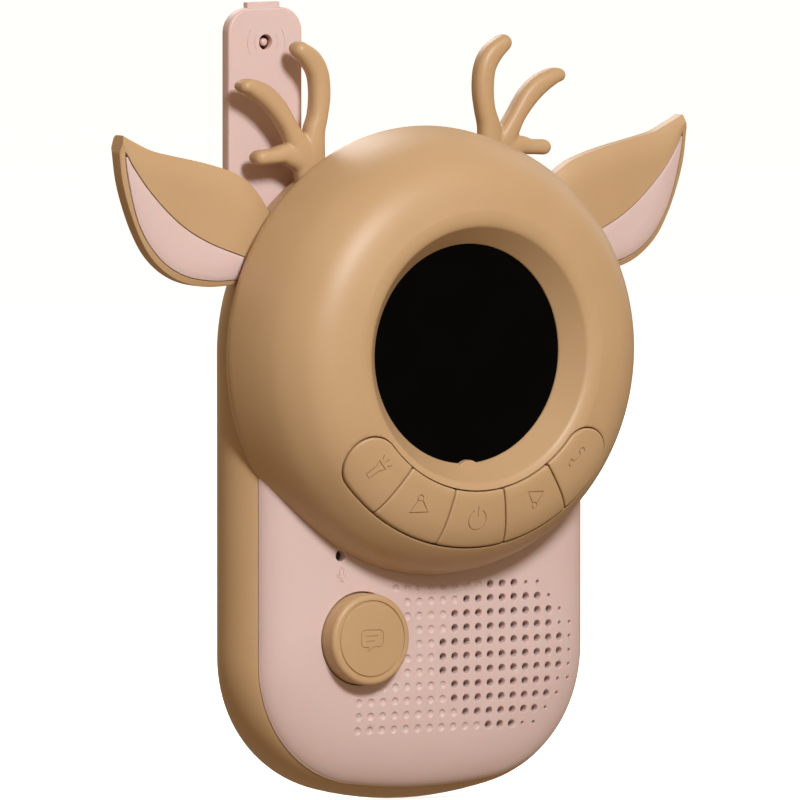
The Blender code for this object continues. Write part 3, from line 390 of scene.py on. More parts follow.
blackAcrylic = castAcrylic()
zincSteel = platedSteel("zinc_plated_steel", "b4b4b0", "c8c8c4", 0.34)
nickelContact = platedSteel("nickel_plated_contact", "b9b19c", "cfc8b4", 0.3)
copperFoil = platedSteel("copper_foil", "b06a48", "c98460", 0.36)
greenBoard = solderMask()
darkPolymer = plainMoulding("dark_filled_polymer", "1b1b1d", "242426", 0.5)
softSilicone = plainMoulding("moulded_silicone", "8f8b87", "9b9793", 0.68)
paperPulp = plainMoulding("paper_pulp_cone", "1c1c1c", "2b2a29", 0.88, 1.5)
shrinkWrap = plainMoulding("pvc_shrink_wrap", "1d3a5c", "244468", 0.34, 9.0)
flatCable = plainMoulding("polyester_flat_cable", "d8d6ce", "e2e0d8", 0.5, 2.0)
clearLens = plainMoulding("clear_epoxy_lens", "d8b4ac", "e2c2ba", 0.16, 1.0)
print("materials made")


# the body's outline and crowned front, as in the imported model

def stadium(half, bottom, corner, sole):
    # round top about the head's centre, straight sides, round corners and a slightly bowed bottom
    centreX = half - corner
    centreZ = bottom + sole - math.sqrt((sole - corner) ** 2 - centreX ** 2)
    lean = math.degrees(math.asin(centreX / (sole - corner)))
    right = arc(0, bottom + sole, sole, -90, -90 + lean, 6)
    right += arc(centreX, centreZ, corner, -90 + lean, 0, 22)[1:]
    top = arc(0, head["z"], half, 0, 180, 72)
    left = [(-x, z) for x, z in reversed(right[1:])]
    return right + top + left


def edgeOut(depth, radius=body["edgeR"]):
    # how far the rear shell's rounded edge stands out from the seam's outline
    centre = -math.sqrt(body["edgeR"] ** 2 - body["edgeDepth"] ** 2)
    return centre + math.sqrt(max(radius ** 2 - (depth - body["edgeDepth"]) ** 2, 0.0))


def bodyOutline(out):
    share = max(out, 0) / edgeOut(body["edgeDepth"])
    inset = min(out, 0)
    half = body["seamHalf"] + share * (body["bulgeHalf"] - body["seamHalf"]) + inset
    bottom = body["seamBottom"] * (1 - share) - inset
    corner = body["seamCorner"] + share * (body["bulgeCorner"] - body["seamCorner"]) + inset
    sole = body["seamSole"] + share * (body["bulgeSole"] - body["seamSole"]) + inset
    return stadium(half, bottom, corner, sole)


def bodyRing(out, depth):
    return [at(x, depth, z) for x, z in bodyOutline(out)]


def coverSizes(inset):
    return (body["seamHalf"] - inset, body["seamBottom"] + body["soleSlope"] * inset,
            body["seamCorner"] - 0.6 * inset, body["seamSole"] - 2 * inset)


def coverRing(inset, depth):
    return [at(x, depth, z) for x, z in stadium(*coverSizes(inset))]


def crown(inset):
    share = min(max(inset, 0.0) / body["crownReach"], 1.0)
    return -body["frontDepth"] * (1 - (1 - share) ** 3.2) ** 0.62


def insideCover(x, z, inset):
    half, bottom, corner, sole = coverSizes(inset)
    centreX = half - corner
    centreZ = bottom + sole - math.sqrt((sole - corner) ** 2 - centreX ** 2)
    if z >= head["z"]:
        return math.hypot(x, z - head["z"]) < half
    if z >= centreZ:
        return abs(x) < half
    if math.atan2(abs(x), bottom + sole - z) <= math.asin(centreX / (sole - corner)):
        return bottom + sole - z < math.sqrt(sole ** 2 - x ** 2)
    return math.hypot(abs(x) - centreX, z - centreZ) < corner


def coverDepth(x, z):
    # depth of the cover's front face at a point
    low, high = 0.0, body["crownReach"]
    for _ in range(16):
        middle = (low + high) / 2
        if insideCover(x, z, middle):
            low = middle
        else:
            high = middle
    return crown(low)


def strokes(lines, width, depthOf, deep):
    # one groove cutter for each (x, z) line, cut to the same depth below a curved face;
    # a line that ends where it starts is a closed loop
    tools = []
    for line in lines:
        closed = math.dist(line[0], line[-1]) < 1e-6
        line = line[:-1] if closed else line
        rings = []
        count = len(line)
        for k, (x, z) in enumerate(line):
            before = line[k - 1] if k or closed else line[0]
            after = line[(k + 1) % count] if k < count - 1 or closed else line[-1]
            lean = math.atan2(after[1] - before[1], after[0] - before[0])
            nx, nz = -math.sin(lean) * width / 2, math.cos(lean) * width / 2
            face = depthOf(x, z)
            rings.append([at(x + nx, face - 0.5, z + nz), at(x - nx, face - 0.5, z - nz),
                          at(x - 0.55 * nx, face + deep, z - 0.55 * nz),
                          at(x + 0.55 * nx, face + deep, z + 0.55 * nz)])
        tools.append(solid("stroke", loftInto, rings, closed))
    return tools


def placed(lines, x, z, turn=0.0, scale=1.0):
    c, s = math.cos(math.radians(turn)) * scale, math.sin(math.radians(turn)) * scale
    return [[(x + u * c - v * s, z + u * s + v * c) for u, v in line] for line in lines]


# rear shell

shell = {
    "screws": ((-12.0, 9.0), (12.0, 9.0), (-27.0, 86.5), (27.0, 86.5)), "screwSeat": 6.0,
    "bossR": 3.6, "screwHeadR": 2.5, "shaftR": 1.0,
    "cellR": 5.25, "cellLength": 44.5, "cellGap": 0.6, "springRoom": 3.4, "plateT": 0.4,
    "bayLow": 41.9, "doorT": 1.4, "ledge": 1.5,
    "doorBossR": 6.0, "doorHoleR": 2.0, "doorCorner": 2.0, "tabR": 5.2,
}
cellStep = 2 * shell["cellR"] + shell["cellGap"]
bayHalf = 1.5 * 2 * shell["cellR"] + shell["cellGap"] + gap
bayTop = shell["bayLow"] + shell["cellLength"] + shell["springRoom"] + shell["plateT"] + 4 * gap
bayFloor = backDepth - shell["doorT"] - 3 * gap - 2 * shell["cellR"]


def doorOutline(growth=0.0, fine=8):
    half = bayHalf + shell["ledge"] + growth
    low, top = shell["bayLow"] - shell["ledge"] - growth, bayTop + shell["ledge"] + growth
    corner, tab = shell["doorCorner"] + growth, shell["tabR"] + growth
    centre = bayTop + shell["ledge"] + 1.0
    start = math.degrees(math.asin((top - centre) / tab))
    outline = arc(-half + corner, low + corner, corner, 180, 270, fine)
    outline += arc(half - corner, low + corner, corner, 270, 360, fine)
    outline += arc(half - corner, top - corner, corner, 0, 90, fine)
    outline += arc(0, centre, tab, start, 180 - start, 4 * fine)
    outline += arc(-half + corner, top - corner, corner, 90, 180, fine)
    return outline, centre


# the antenna is let into the back, so its outline is needed here
blade = {
    "x": -25.1, "w": 15.4, "front": 11.0, "t": 2.8, "top": 140.6, "corner": 4.4, "low": 94.4,
    "slantW": 3.5, "slantH": 7.5, "play": 0.15, "tabW": 6.8, "tabH": 1.0, "tabT": 1.4,
    "ledZ": 134.5, "ledHoleR": 1.35, "waves": ((2.4, 33), (3.9, 34)), "waveW": 0.26, "waveDeep": 0.1,
}


def bladeOutline(inset=0.0, fine=14):
    left, right = blade["x"] - blade["w"] / 2, blade["x"] + blade["w"] / 2
    low, top, corner = blade["low"], blade["top"], blade["corner"]
    outline = [(left + inset, low + blade["slantH"]), (left + blade["slantW"] + inset, low)]
    outline += [(right - inset, low)]
    outline += arc(right - corner, top - corner, corner - inset, 0, 90, fine)
    outline += arc(left + corner, top - corner, corner - inset, 90, 180, fine)
    return outline


def makeRearShell():
    lip = math.degrees(math.asin(-body["edgeDepth"] / body["edgeR"]))
    rings = [bodyRing(-0.3, 0.02), bodyRing(-0.1, 0.06), bodyRing(edgeOut(0.2) - 0.03, 0.18)]
    steps = 22
    for k in range(1, steps + 1):
        angle = math.radians(lip + 1.5 + (90 - lip - 1.5) * k / steps)
        depth = body["edgeDepth"] + body["edgeR"] * math.sin(angle)
        rings.append(bodyRing(edgeOut(depth), depth))
    piece = solid("rearShell", loftInto, rings)
    innerR = body["edgeR"] - body["wall"]
    hollow = [(-2.0, -1.0), (-2.0, 0.0), (-0.2, 3.0), (edgeOut(6.4, innerR), 6.4)]
    hollow += [(edgeOut(d, innerR), d) for d in (8.6, 10.6, 12.2, backDepth - body["wall"])]
    cavity = solid("cavity", loftInto, [bodyRing(out, depth) for out, depth in hollow])
    carve(piece, cavity)
    wall = shell["ledge"] + 1.0
    ledge = backDepth - shell["doorT"] - gap
    bay = solid("bay", box, (-bayHalf - wall, bayFloor - 1.2, shell["bayLow"] - wall),
                (bayHalf + wall, ledge - 0.1, bayTop + wall))
    screwZ = doorOutline()[1]
    doorBoss = solid("doorBoss", prismInto, circle(0, screwZ, shell["doorBossR"]), bayFloor + 2, ledge - 0.1)
    carve(piece, bay, doorBoss, how="UNION")
    pocket = solid("pocket", box, (-bayHalf, bayFloor, shell["bayLow"]), (bayHalf, backDepth + 1, bayTop))
    recess = solid("recess", prismInto, doorOutline(0.2)[0], ledge, backDepth + 1)
    doorHole = solid("doorHole", prismInto, circle(0, screwZ, shell["doorHoleR"], 24), ledge - 6.5, backDepth)
    carve(piece, pocket, recess, doorHole)
    play = blade["play"]
    slot = solid("slot", prismInto, grow(bladeOutline(), play),
                 blade["front"] - play, blade["front"] + blade["t"] + play)
    bosses, seats = bmesh.new(), bmesh.new()
    for x, z in shell["screws"]:
        prismInto(bosses, circle(x, z, shell["bossR"], 32), 2.8, backDepth - body["wall"] + 0.3)
        rim = shell["screwHeadR"] + gap
        seat = ((rim, shell["screwSeat"]), (rim, backDepth - 0.3), (rim + 0.5, backDepth + 0.2))
        loftInto(seats, rounds(x, z, seat, 32))
    carve(piece, solidOf("bosses", bosses), how="UNION")
    carve(piece, slot, solidOf("seats", seats))
    finishPiece(piece, tanAbs, "body", "tan_abs", "rear_shell")


makeRearShell()
print("rear shell made")


# front cover with its sound holes

cover = {
    "holeX": 14.35, "holeZ": 25.65, "pitch": 2.5, "holeR": 0.68, "reach": 26,
    "talkX": -15.4, "talkZ": 29.6, "talkHoleR": 8.3, "micX": -19.7, "micZ": 44.4, "micR": 1.0,
    "markX": -19.6, "markZ": 41.3, "markW": 0.24, "markDeep": 0.14,
    # blind dimples and pinholes by row, as first and last column beside the open holes
    "dimples": {-4: (-9, -2), -3: (-8, -4), -2: (-8, -5), -1: (-7, -5), 0: (-7, -6), 1: (-8, -6),
                2: (-8, -6), 3: (-10, -5), 4: (-12, -5), 5: (-12, -4), 6: (-12, -2)},
    "pinholes": {-4: (2, 3), -3: (4, 4), -2: (5, 5), -1: (5, 6), 0: (6, 6), 1: (6, 6), 2: (6, 6),
                 3: (5, 6), 4: (5, 5), 5: (4, 4), 6: (2, 3)},
}


def holePlaces():
    # the open holes fill a circle; dimples and pinholes fill each row beside them
    places = []
    reach = math.isqrt(cover["reach"])
    for row in range(-reach, reach + 1):
        spans = [("open", c, c) for c in range(-reach, reach + 1) if c ** 2 + row ** 2 <= cover["reach"]]
        spans += [(kind, *cover[kind][row + 1]) for kind in ("dimples", "pinholes")]
        for kind, first, last in spans:
            for column in range(first, last + 1):
                x, z = cover["holeX"] + column * cover["pitch"], cover["holeZ"] - row * cover["pitch"]
                places.append((kind, x, z))
    return places


def holeInto(bm, kind, x, z):
    # rings of a hole or dimple with a small radius at its mouth, square to the crowned face there
    face = coverDepth(x, z)
    slopeX = coverDepth(x + 0.5, z) - coverDepth(x - 0.5, z)
    slopeZ = coverDepth(x, z + 0.5) - coverDepth(x, z - 0.5)
    r = cover["holeR"]
    sections = {
        "open": ((r + 0.16, -0.5), (r + 0.16, -0.02), (r + 0.05, 0.06), (r, 0.2), (r, 3.6)),
        "dimples": ((r + 0.14, -0.5), (r + 0.14, -0.02), (r + 0.02, 0.06), (r - 0.04, 0.2), (r - 0.2, 0.34)),
        "pinholes": ((0.44, -0.5), (0.44, -0.02), (0.36, 0.06), (0.33, 0.2), (0.33, 1.2)),
    }[kind]
    rings = []
    for radius, deep in sections:
        rings.append([at(px, face + slopeX * (px - x) + slopeZ * (pz - z) + deep, pz)
                      for px, pz in circle(x, z, radius, 18)])
    loftInto(bm, rings)


def micPictogram():
    # a small microphone: capsule, cradle and foot
    capsule = arc(0, 0.55, 0.42, 0, 180, 8) + arc(0, -0.1, 0.42, 180, 360, 8)
    cradle, stem, foot = arc(0, 0.0, 0.95, 190, 350, 12), [(0, -0.95), (0, -1.5)], [(-0.5, -1.5), (0.5, -1.5)]
    return [capsule + capsule[:1], cradle, stem, foot]


def makeFrontCover():
    insets = (0.0, 0.04, 0.12, 0.25, 0.45, 0.7, 1.0, 1.4, 1.9, 2.5,
              3.2, 4.0, 5.0, 6.0, 7.2, 8.6, 10.2, 12.0, 14.2, 17.0)
    rings = [coverRing(0.25, body["coverEdge"]), coverRing(0.06, body["coverEdge"] - 0.04)]
    rings += [coverRing(i, min(crown(i), body["coverEdge"] - 0.1)) for i in insets]
    piece = solid("frontCover", loftInto, rings)
    inside = [(i, crown(i - 0.9) + body["coverWall"]) for i in (17.0, 11.0, 7.4, 4.6)]
    hollow = [coverRing(*pair) for pair in inside]
    hollow += [coverRing(3.4, -1.1), bodyRing(-3.4, 1.0), bodyRing(-3.4, 2.6)]
    lip = [bodyRing(out, depth) for out, depth in ((-2.3, -1.0), (-2.3, 1.6), (-2.45, 1.8))]
    carve(piece, solid("lip", loftInto, lip), how="UNION")
    carve(piece, solid("hollow", loftInto, hollow))
    r = cover["talkHoleR"]
    mouth = ((r + 0.2, -6.0), (r + 0.2, -5.02), (r + 0.05, -4.93), (r, -4.75), (r, 0.0))
    talkHole = solid("talkHole", loftInto, rounds(cover["talkX"], cover["talkZ"], mouth, 96))
    holes = bmesh.new()
    for kind, x, z in holePlaces():
        if math.hypot(x - cover["talkX"], z - cover["talkZ"]) > cover["talkHoleR"] + 1.0:
            holeInto(holes, kind, x, z)
    face, r = coverDepth(cover["micX"], cover["micZ"]), cover["micR"]
    mic = ((r + 0.2, face - 0.6), (r + 0.2, face - 0.02), (r + 0.06, face + 0.05),
           (r, face + 0.2), (r, face + 3.6))
    loftInto(holes, rounds(cover["micX"], cover["micZ"], mic, 36))
    carve(piece, talkHole, solidOf("holes", holes))
    marks = placed(micPictogram(), cover["markX"], cover["markZ"])
    carve(piece, *strokes(marks, cover["markW"], coverDepth, cover["markDeep"]))
    finishPiece(piece, pinkAbs, "body", "pink_abs", "front_cover", sharp=44)


makeFrontCover()
print("front cover made")


# head

headCurve = smooth(head["curve"], 7)


def headDrop(radius):
    # the outer bowl hangs a little below the screen's centre
    share = min(max((radius - 27) / 11, 0.0), 1.0)
    return head["drop"] * share * share * (3 - 2 * share)


def domeDepth(x, z):
    # depth of the head's outside at a point
    radius = math.hypot(x, z - head["z"])
    radius = math.hypot(x, z + headDrop(radius) - head["z"])
    points = headCurve[::-1]
    if radius <= points[0][0]:
        return points[0][1]
    for (r0, d0), (r1, d1) in zip(points, points[1:]):
        if r0 <= radius <= r1:
            return d0 + (d1 - d0) * (radius - r0) / max(r1 - r0, 1e-9)
    return 0.0


keySet = {
    "inner": 23.9, "outer": 34.3, "end": 50.0, "splits": (-37.0, -13.0, 11.0, 35.0),
    "names": ("key_torch", "key_up", "key_power", "key_down", "key_call"),
    "proud": 0.3, "foot": -13.4, "play": 0.22, "edge": 0.35,
    "markScale": 0.95, "markW": 0.36, "markDeep": 0.22,
}


def keyArc(fine=60):
    # outline of the opening that all five keys share
    middle = (keySet["inner"] + keySet["outer"]) / 2
    half = (keySet["outer"] - keySet["inner"]) / 2
    end = keySet["end"]
    right, left = [arc(0, head["z"], middle, a, a, 1)[0] for a in (-90 + end, -90 - end)]
    outline = arc(0, head["z"], middle + half, -90 - end, -90 + end, fine)
    outline += arc(*right, half, -90 + end, 90 + end, 20)[1:]
    outline += arc(0, head["z"], middle - half, -90 + end, -90 - end, fine)[1:]
    outline += arc(*left, half, 90 - end, 270 - end, 20)[1:-1]
    return outline


def insideOf(points, distance):
    # a curve of (radius, depth) points moved inwards, square to itself
    moved = []
    for k, (radius, depth) in enumerate(points):
        before, after = points[max(k - 1, 0)], points[min(k + 1, len(points) - 1)]
        lean = math.atan2(after[0] - before[0], before[1] - after[1])
        moved.append((radius - distance * math.cos(lean), depth - distance * math.sin(lean)))
    return moved


def makeHeadShell():
    wide, floor, pocket = head["screenR"], -head["screenDepth"], head["pocketR"]
    screen = [(wide + 0.12, floor - 0.4), (wide, floor - 0.2), (wide, floor)]
    seat = floor + head["pocketDeep"]
    ring = pocket + head["pocketWall"]
    inside = [(pocket, floor), (pocket, seat), (ring, seat), (ring, -17.6)]
    inside += [(r, d) for r, d in reversed(insideOf(head["curve"], head["wall"])) if r > ring + 1 and d < -4]
    inside += [(head["skirt"], -4.0), (head["skirt"], 3.2)]
    profile = [*headCurve, *head["rim"], *screen, *inside]
    bm = bmesh.new()
    turnedInto(bm, profile, 0, head["z"], 216, onAxis=False)
    for vert in bm.verts:
        vert.co.z -= headDrop(math.hypot(vert.co.x / mm, vert.co.z / mm - head["z"])) * mm
    piece = solidOf("headShell", bm)
    nubZ = head["z"] - head["screenR"] - head["nubR"] + head["nubProud"]
    r = head["nubR"]
    nub = ((r, -14.9), (r, -16.0), (r - 0.1, -16.2), (r - 0.35, -16.3))
    carve(piece, solid("nub", loftInto, rounds(0, nubZ, nub, 40)), how="UNION")
    clear = head["clear"]
    rings = [bodyRing(edgeOut(d) + clear, d) for d in (7.0, 4.6, 2.8, 1.2, 0.0)]
    rings += [coverRing(i - clear, min(crown(i), -0.3) - clear)
              for i in (0.35, 0.8, 1.4, 2.5, 4.0, 6.0, 8.6, 12.0, 17.0)]
    carve(piece, solid("bodySpace", loftInto, rings))
    mouth = [[at(x, -24.0, z) for x, z in grow(keyArc(), 0.16)]]
    for growth, deep in ((0.16, -0.02), (0.06, 0.05), (0.0, 0.2)):
        mouth.append([at(x, domeDepth(x, z) + deep, z) for x, z in grow(keyArc(), growth)])
    mouth.append([at(x, -11.4, z) for x, z in keyArc()])
    carve(piece, solid("mouth", loftInto, mouth))
    finishPiece(piece, tanAbs, "body", "tan_abs", "head_shell", sharp=40)


makeHeadShell()
print("head made")


def roundedCorners(outline, radius):
    # replaces each sharp corner by a short curve
    made = []
    count = len(outline)
    for k, here in enumerate(outline):
        before, after = outline[k - 1], outline[(k + 1) % count]
        first = math.atan2(here[1] - before[1], here[0] - before[0])
        second = math.atan2(after[1] - here[1], after[0] - here[0])
        bend = abs((second - first + math.pi) % (2 * math.pi) - math.pi)
        if bend < 0.7:
            made.append(here)
            continue
        ends = []
        for other in (before, after):
            share = min(radius / math.dist(here, other), 0.9)
            ends.append((here[0] + (other[0] - here[0]) * share, here[1] + (other[1] - here[1]) * share))
        for step in range(6):
            t = step / 5
            made.append(tuple((1 - t) ** 2 * a + 2 * t * (1 - t) * b + t * t * c
                              for a, b, c in zip(ends[0], here, ends[1])))
    return made


def keyShape(start, end):
    # the part of the arc between two splits, half the play in from each
    play = keySet["play"]
    inner, outer = keySet["inner"] + play, keySet["outer"] - play
    middle, half = (inner + outer) / 2, (outer - inner) / 2

    def away(angle, radius, side):
        return angle - 90 + side * math.degrees(math.asin(play / 2 / radius))

    roundStart, roundEnd = start < -60, end > 60
    a0 = (-90 - keySet["end"],) * 2 if roundStart else (away(start, outer, 1), away(start, inner, 1))
    a1 = (-90 + keySet["end"],) * 2 if roundEnd else (away(end, outer, -1), away(end, inner, -1))
    outline = arc(0, head["z"], outer, a0[0], a1[0], 16)
    if roundEnd:
        tip = arc(0, head["z"], middle, a1[0], a1[0], 1)[0]
        outline += arc(*tip, half, a1[0], a1[0] + 180, 20)[1:-1]
    outline += arc(0, head["z"], inner, a1[1], a0[1], 16)
    if roundStart:
        tip = arc(0, head["z"], middle, a0[0], a0[0], 1)[0]
        outline += arc(*tip, half, a0[0] + 180, a0[0] + 360, 20)[1:-1]
    return filled(roundedCorners(outline, 0.5), 0.6)


def keyIcons():
    # line drawings in millimetres about each key's middle
    torch = [[(-2.0, -0.55), (0.2, -0.55), (1.3, -1.15), (1.3, 1.15), (0.2, 0.55), (-2.0, 0.55),
              (-2.0, -0.55)]]
    torch += [[(1.9, 0.9), (2.7, 1.4)], [(2.0, 0.0), (2.9, 0.0)], [(1.9, -0.9), (2.7, -1.4)]]
    up = [[(-0.5, 0.85), (-1.9, -1.4), (1.9, -1.4), (0.5, 0.85)],
          circle(0, 1.3, 0.55, 16) + [(0.55, 1.3)]]
    power = [arc(0, 0, 1.9, 118, 422, 28), [(0, 0.5), (0, 2.5)]]
    down = [[(-0.5, -0.85), (-1.8, 1.3), (1.8, 1.3), (0.5, -0.85)],
            circle(0, -1.3, 0.55, 16) + [(0.55, -1.3)]]
    call = [smooth(((-2.1, 0.3), (-2.2, 1.0), (-1.2, 1.3), (-0.9, 0.5),
                    (0.9, 0.5), (1.2, 1.3), (2.2, 1.0), (2.1, 0.3)), 4)]
    return {  # lines, x, z and turn in degrees
        "key_torch": (torch, -21.7, 60.6, 38), "key_up": (up, -12.7, 54.0, 0),
        "key_power": (power, -0.6, 50.9, 0), "key_down": (down, 11.5, 54.2, 0),
        "key_call": (call, 20.6, 60.7, 42),
    }


def makeKey(name, start, end, icon):
    outline = keyShape(start, end)
    proud, edge = keySet["proud"], keySet["edge"]
    bm = bmesh.new()
    rings = [[at(x, keySet["foot"], z) for x, z in outline]]
    for sunk, inset in bend(edge, 4):
        rings.append([at(x, domeDepth(x, z) - proud + sunk, z) for x, z in grow(outline, -inset - 0.001)])
    top = grow(outline, -edge)
    polar = [(math.hypot(x, z - head["z"]), math.atan2(z - head["z"], x)) for x, z in top]
    polar = [(r, a if a < 0.5 else a - 2 * math.pi) for r, a in polar]
    midR = sum(r for r, _ in polar) / len(polar)
    midA = (min(a for _, a in polar) + max(a for _, a in polar)) / 2
    for share in (0.88, 0.74, 0.58, 0.42, 0.26, 0.12):
        ring = []
        for r, a in polar:
            radius, angle = midR + (r - midR) * share, midA + (a - midA) * share
            x, z = radius * math.cos(angle), head["z"] + radius * math.sin(angle)
            ring.append(at(x, domeDepth(x, z) - proud, z))
        rings.append(ring)
    x, z = midR * math.cos(midA), head["z"] + midR * math.sin(midA)
    domedInto(bm, rings, at(x, domeDepth(x, z) - proud, z))
    piece = solidOf(name.replace("key_", "keycap_"), bm)
    lines, x, z, turn = icon
    marks = placed(lines, x, z, turn, keySet["markScale"])
    carve(piece, *strokes(marks, keySet["markW"], lambda px, pz: domeDepth(px, pz) - proud, keySet["markDeep"]))
    finishPiece(piece, tanAbs, name, "tan_abs", name)


icons = keyIcons()
keyBounds = [-90.0, *keySet["splits"], 90.0]
for keyName, keyStart, keyEnd in zip(keySet["names"], keyBounds, keyBounds[1:]):
    makeKey(keyName, keyStart, keyEnd, icons[keyName])
print("keys made")


# screen and talk button

def makeLens():
    r, front = head["pocketR"] - 0.2, -head["screenDepth"] + 0.1
    back = front + 1.4
    profile = [(0, front), (r - 0.3, front), (r - 0.08, front + 0.08), (r, front + 0.3), (r, back), (0, back)]
    piece = solid("screenLens", turnedInto, profile, 0, head["z"], 128)
    finishPiece(piece, blackAcrylic, "body", "black_acrylic", "screen_lens")


def bubblePictogram():
    # a speech bubble with two lines of talk
    bubble = arc(1.5, 0.7, 0.8, 0, 90, 5) + arc(-1.5, 0.7, 0.8, 90, 180, 5)
    bubble += arc(-1.5, -0.7, 0.8, 180, 270, 5)
    bubble += [(-0.7, -1.5), (-1.0, -2.3), (0.2, -1.5)] + arc(1.5, -0.7, 0.8, 270, 360, 5)
    return [bubble + bubble[:1], [(-1.2, 0.45), (1.2, 0.45)], [(-1.2, -0.45), (0.6, -0.45)]]


talk = {
    "r": 8.1, "proud": 3.5, "grooveR": 6.5, "grooveW": 0.42, "grooveDeep": 0.32, "edge": 0.8,
    "flangeW": 1.4, "flangeT": 1.0, "stemR": 2.0, "stemEnd": 1.7, "markW": 0.3, "markDeep": 0.16,
}


def makeTalkButton():
    face = -body["frontDepth"] - talk["proud"]
    groove, wide, deep = talk["grooveR"], talk["grooveW"], talk["grooveDeep"]
    outer = groove + wide
    profile = [(0, face), (groove - 0.2, face), (groove - 0.06, face + 0.05), (groove, face + 0.16)]
    profile += [(groove + 0.05, face + deep), (outer - 0.05, face + deep), (outer, face + 0.16)]
    profile += [(outer + 0.08, face + 0.04)]
    profile += [(talk["r"] - inset, face + 0.02 + sunk) for inset, sunk in bend(talk["edge"], 7)]
    # a flange behind the cover holds it in, and a stem reaches for the switch
    back = -body["frontDepth"] + body["coverWall"] + 0.9
    rim, end = talk["r"] + talk["flangeW"], back + talk["flangeT"]
    profile += [(talk["r"], back), (rim, back), (rim, end)]
    profile += [(talk["stemR"], end), (talk["stemR"], talk["stemEnd"]), (0, talk["stemEnd"])]
    piece = solid("talkButton", turnedInto, profile, cover["talkX"], cover["talkZ"], 128)
    marks = placed(bubblePictogram(), cover["talkX"], cover["talkZ"] + 0.2)
    carve(piece, *strokes(marks, talk["markW"], lambda x, z: face, talk["markDeep"]))
    finishPiece(piece, tanAbs, "talk_button", "tan_abs", "talk_button")


makeLens()
makeTalkButton()
print("screen and talk button made")


# ears: crowned leaves with an inlay let in flush

ear = {
    "top": ((-59.0, 119.4), (-56.7, 118.2), (-52.9, 116.5), (-48.3, 115.4), (-43.2, 114.3),
            (-38.4, 113.0), (-34.6, 111.5), (-31.6, 109.2), (-28.9, 105.6), (-27.0, 101.6)),
    "belly": ((-59.8, 116.6), (-59.2, 111.6), (-57.9, 106.9), (-55.9, 102.0), (-53.4, 97.9),
              (-50.0, 94.8), (-46.0, 92.9), (-40.8, 92.1), (-34.6, 92.4)),
    "inlayTop": ((-58.7, 116.2), (-57.0, 113.2), (-54.1, 109.4), (-49.6, 104.9), (-45.2, 101.7),
                 (-40.3, 99.3), (-34.4, 97.2)),
    "inlayLow": ((-58.7, 116.2), (-58.4, 113.2), (-57.4, 108.6), (-55.7, 103.5), (-53.2, 99.4), (-49.9, 96.2),
                 (-45.6, 94.1), (-40.0, 93.2), (-35.4, 93.3)),
    "edge": 4.55, "crown": 0.95, "reach": 4.5, "back": 7.6, "front": 0.22, "rear": 0.8, "joint": 0.14,
}


def sideOf(x, side):
    return -x if side == "right" else x


def distanceTo(x, z, lines):
    best = 1e9
    for line in lines:
        for (ax, az), (bx, bz) in zip(line, line[1:]):
            dx, dz = bx - ax, bz - az
            t = min(max(((x - ax) * dx + (z - az) * dz) / max(dx * dx + dz * dz, 1e-12), 0), 1)
            best = min(best, math.hypot(x - ax - t * dx, z - az - t * dz))
    return best


earTop = resampled(smooth(ear["top"], 8), 70)
earBelly = resampled(smooth(ear["belly"], 8), 70)


def earDepth(x, z):
    # front face of the left ear: it crowns forward away from its edge
    share = min(distanceTo(x, z, (earTop, earBelly)) / ear["reach"], 1.0)
    return ear["edge"] - ear["crown"] * (1 - (1 - share) ** 2)


def earSection(top, low):
    # one ring across the ear: over the crowned front, round the edge and back along the rear
    ring = []
    width = math.dist(top, low)
    ux, uz = (low[0] - top[0]) / width, (low[1] - top[1]) / width
    front, rear = min(ear["front"], width * 0.2), min(ear["rear"], width * 0.4)

    def put(along, depth):
        ring.append((top[0] + ux * along, depth, top[1] + uz * along))

    for across, down in bend(front, 3):
        put(across, ear["edge"] + down)
    ring.reverse()
    for k in range(1, 20):
        along = front + (width - 2 * front) * k / 20
        x, z = top[0] + ux * along, top[1] + uz * along
        ring.append((x, earDepth(x, z), z))
    for across, down in bend(front, 3):
        put(width - across, ear["edge"] + down)
    for down, across in bend(rear, 4):
        put(width - across, ear["back"] - down)
    for down, across in reversed(bend(rear, 4)):
        put(across, ear["back"] - down)
    return ring


def inlayRing(inset, side, offset):
    top = resampled(smooth(ear["inlayTop"], 6), 44)
    low = resampled(smooth(ear["inlayLow"], 6), 44)
    outline = grow(top + low[:0:-1], -inset)
    return [at(sideOf(x, side), earDepth(x, z) + offset, z) for x, z in outline]


def makeEar(side):
    rings = [earSection(t, b) for t, b in zip(earTop, earBelly)]
    rings = [[at(sideOf(x, side), depth, z) for x, depth, z in ring] for ring in rings]
    piece = solid("earShell_" + side, loftInto, rings)
    joint = ear["joint"]
    recess = [inlayRing(-joint - 0.06, side, -2.5), inlayRing(-joint - 0.06, side, 0.0),
              inlayRing(-joint, side, 0.12), inlayRing(-joint, side, 1.3)]
    carve(piece, solid("recess", loftInto, recess))
    finishPiece(piece, tanAbs, "body", "tan_abs", "ear_" + side, sharp=50)
    # the inlay's face is spanned by strips between its two long edges
    bm = bmesh.new()
    top = resampled(smooth(ear["inlayTop"], 6), 50)
    low = resampled(smooth(ear["inlayLow"], 6), 50)
    sections = []
    for t, b in zip(top[1:], low[1:]):
        b = (b[0] + 1e-4, b[1]) if math.dist(t, b) < 1e-6 else b
        across = []
        for step in range(13):
            share = step / 12
            x, z = t[0] + (b[0] - t[0]) * share, t[1] + (b[1] - t[1]) * share
            rounded = 0.1 if step in (0, 12) else 0.0
            across.append(at(sideOf(x, side), earDepth(x, z) + rounded, z))
        for step in (12, 0):
            x, z = (b if step else t)
            across.append(at(sideOf(x, side), earDepth(x, z) + 1.0, z))
        sections.append(across)
    loftInto(bm, sections)
    inlay = solidOf("earInlay_" + side, bm)
    finishPiece(inlay, pinkAbs, "body", "pink_abs", "ear_inlay_" + side, sharp=50)


for sideName in ("left", "right"):
    makeEar(sideName)
print("ears made")


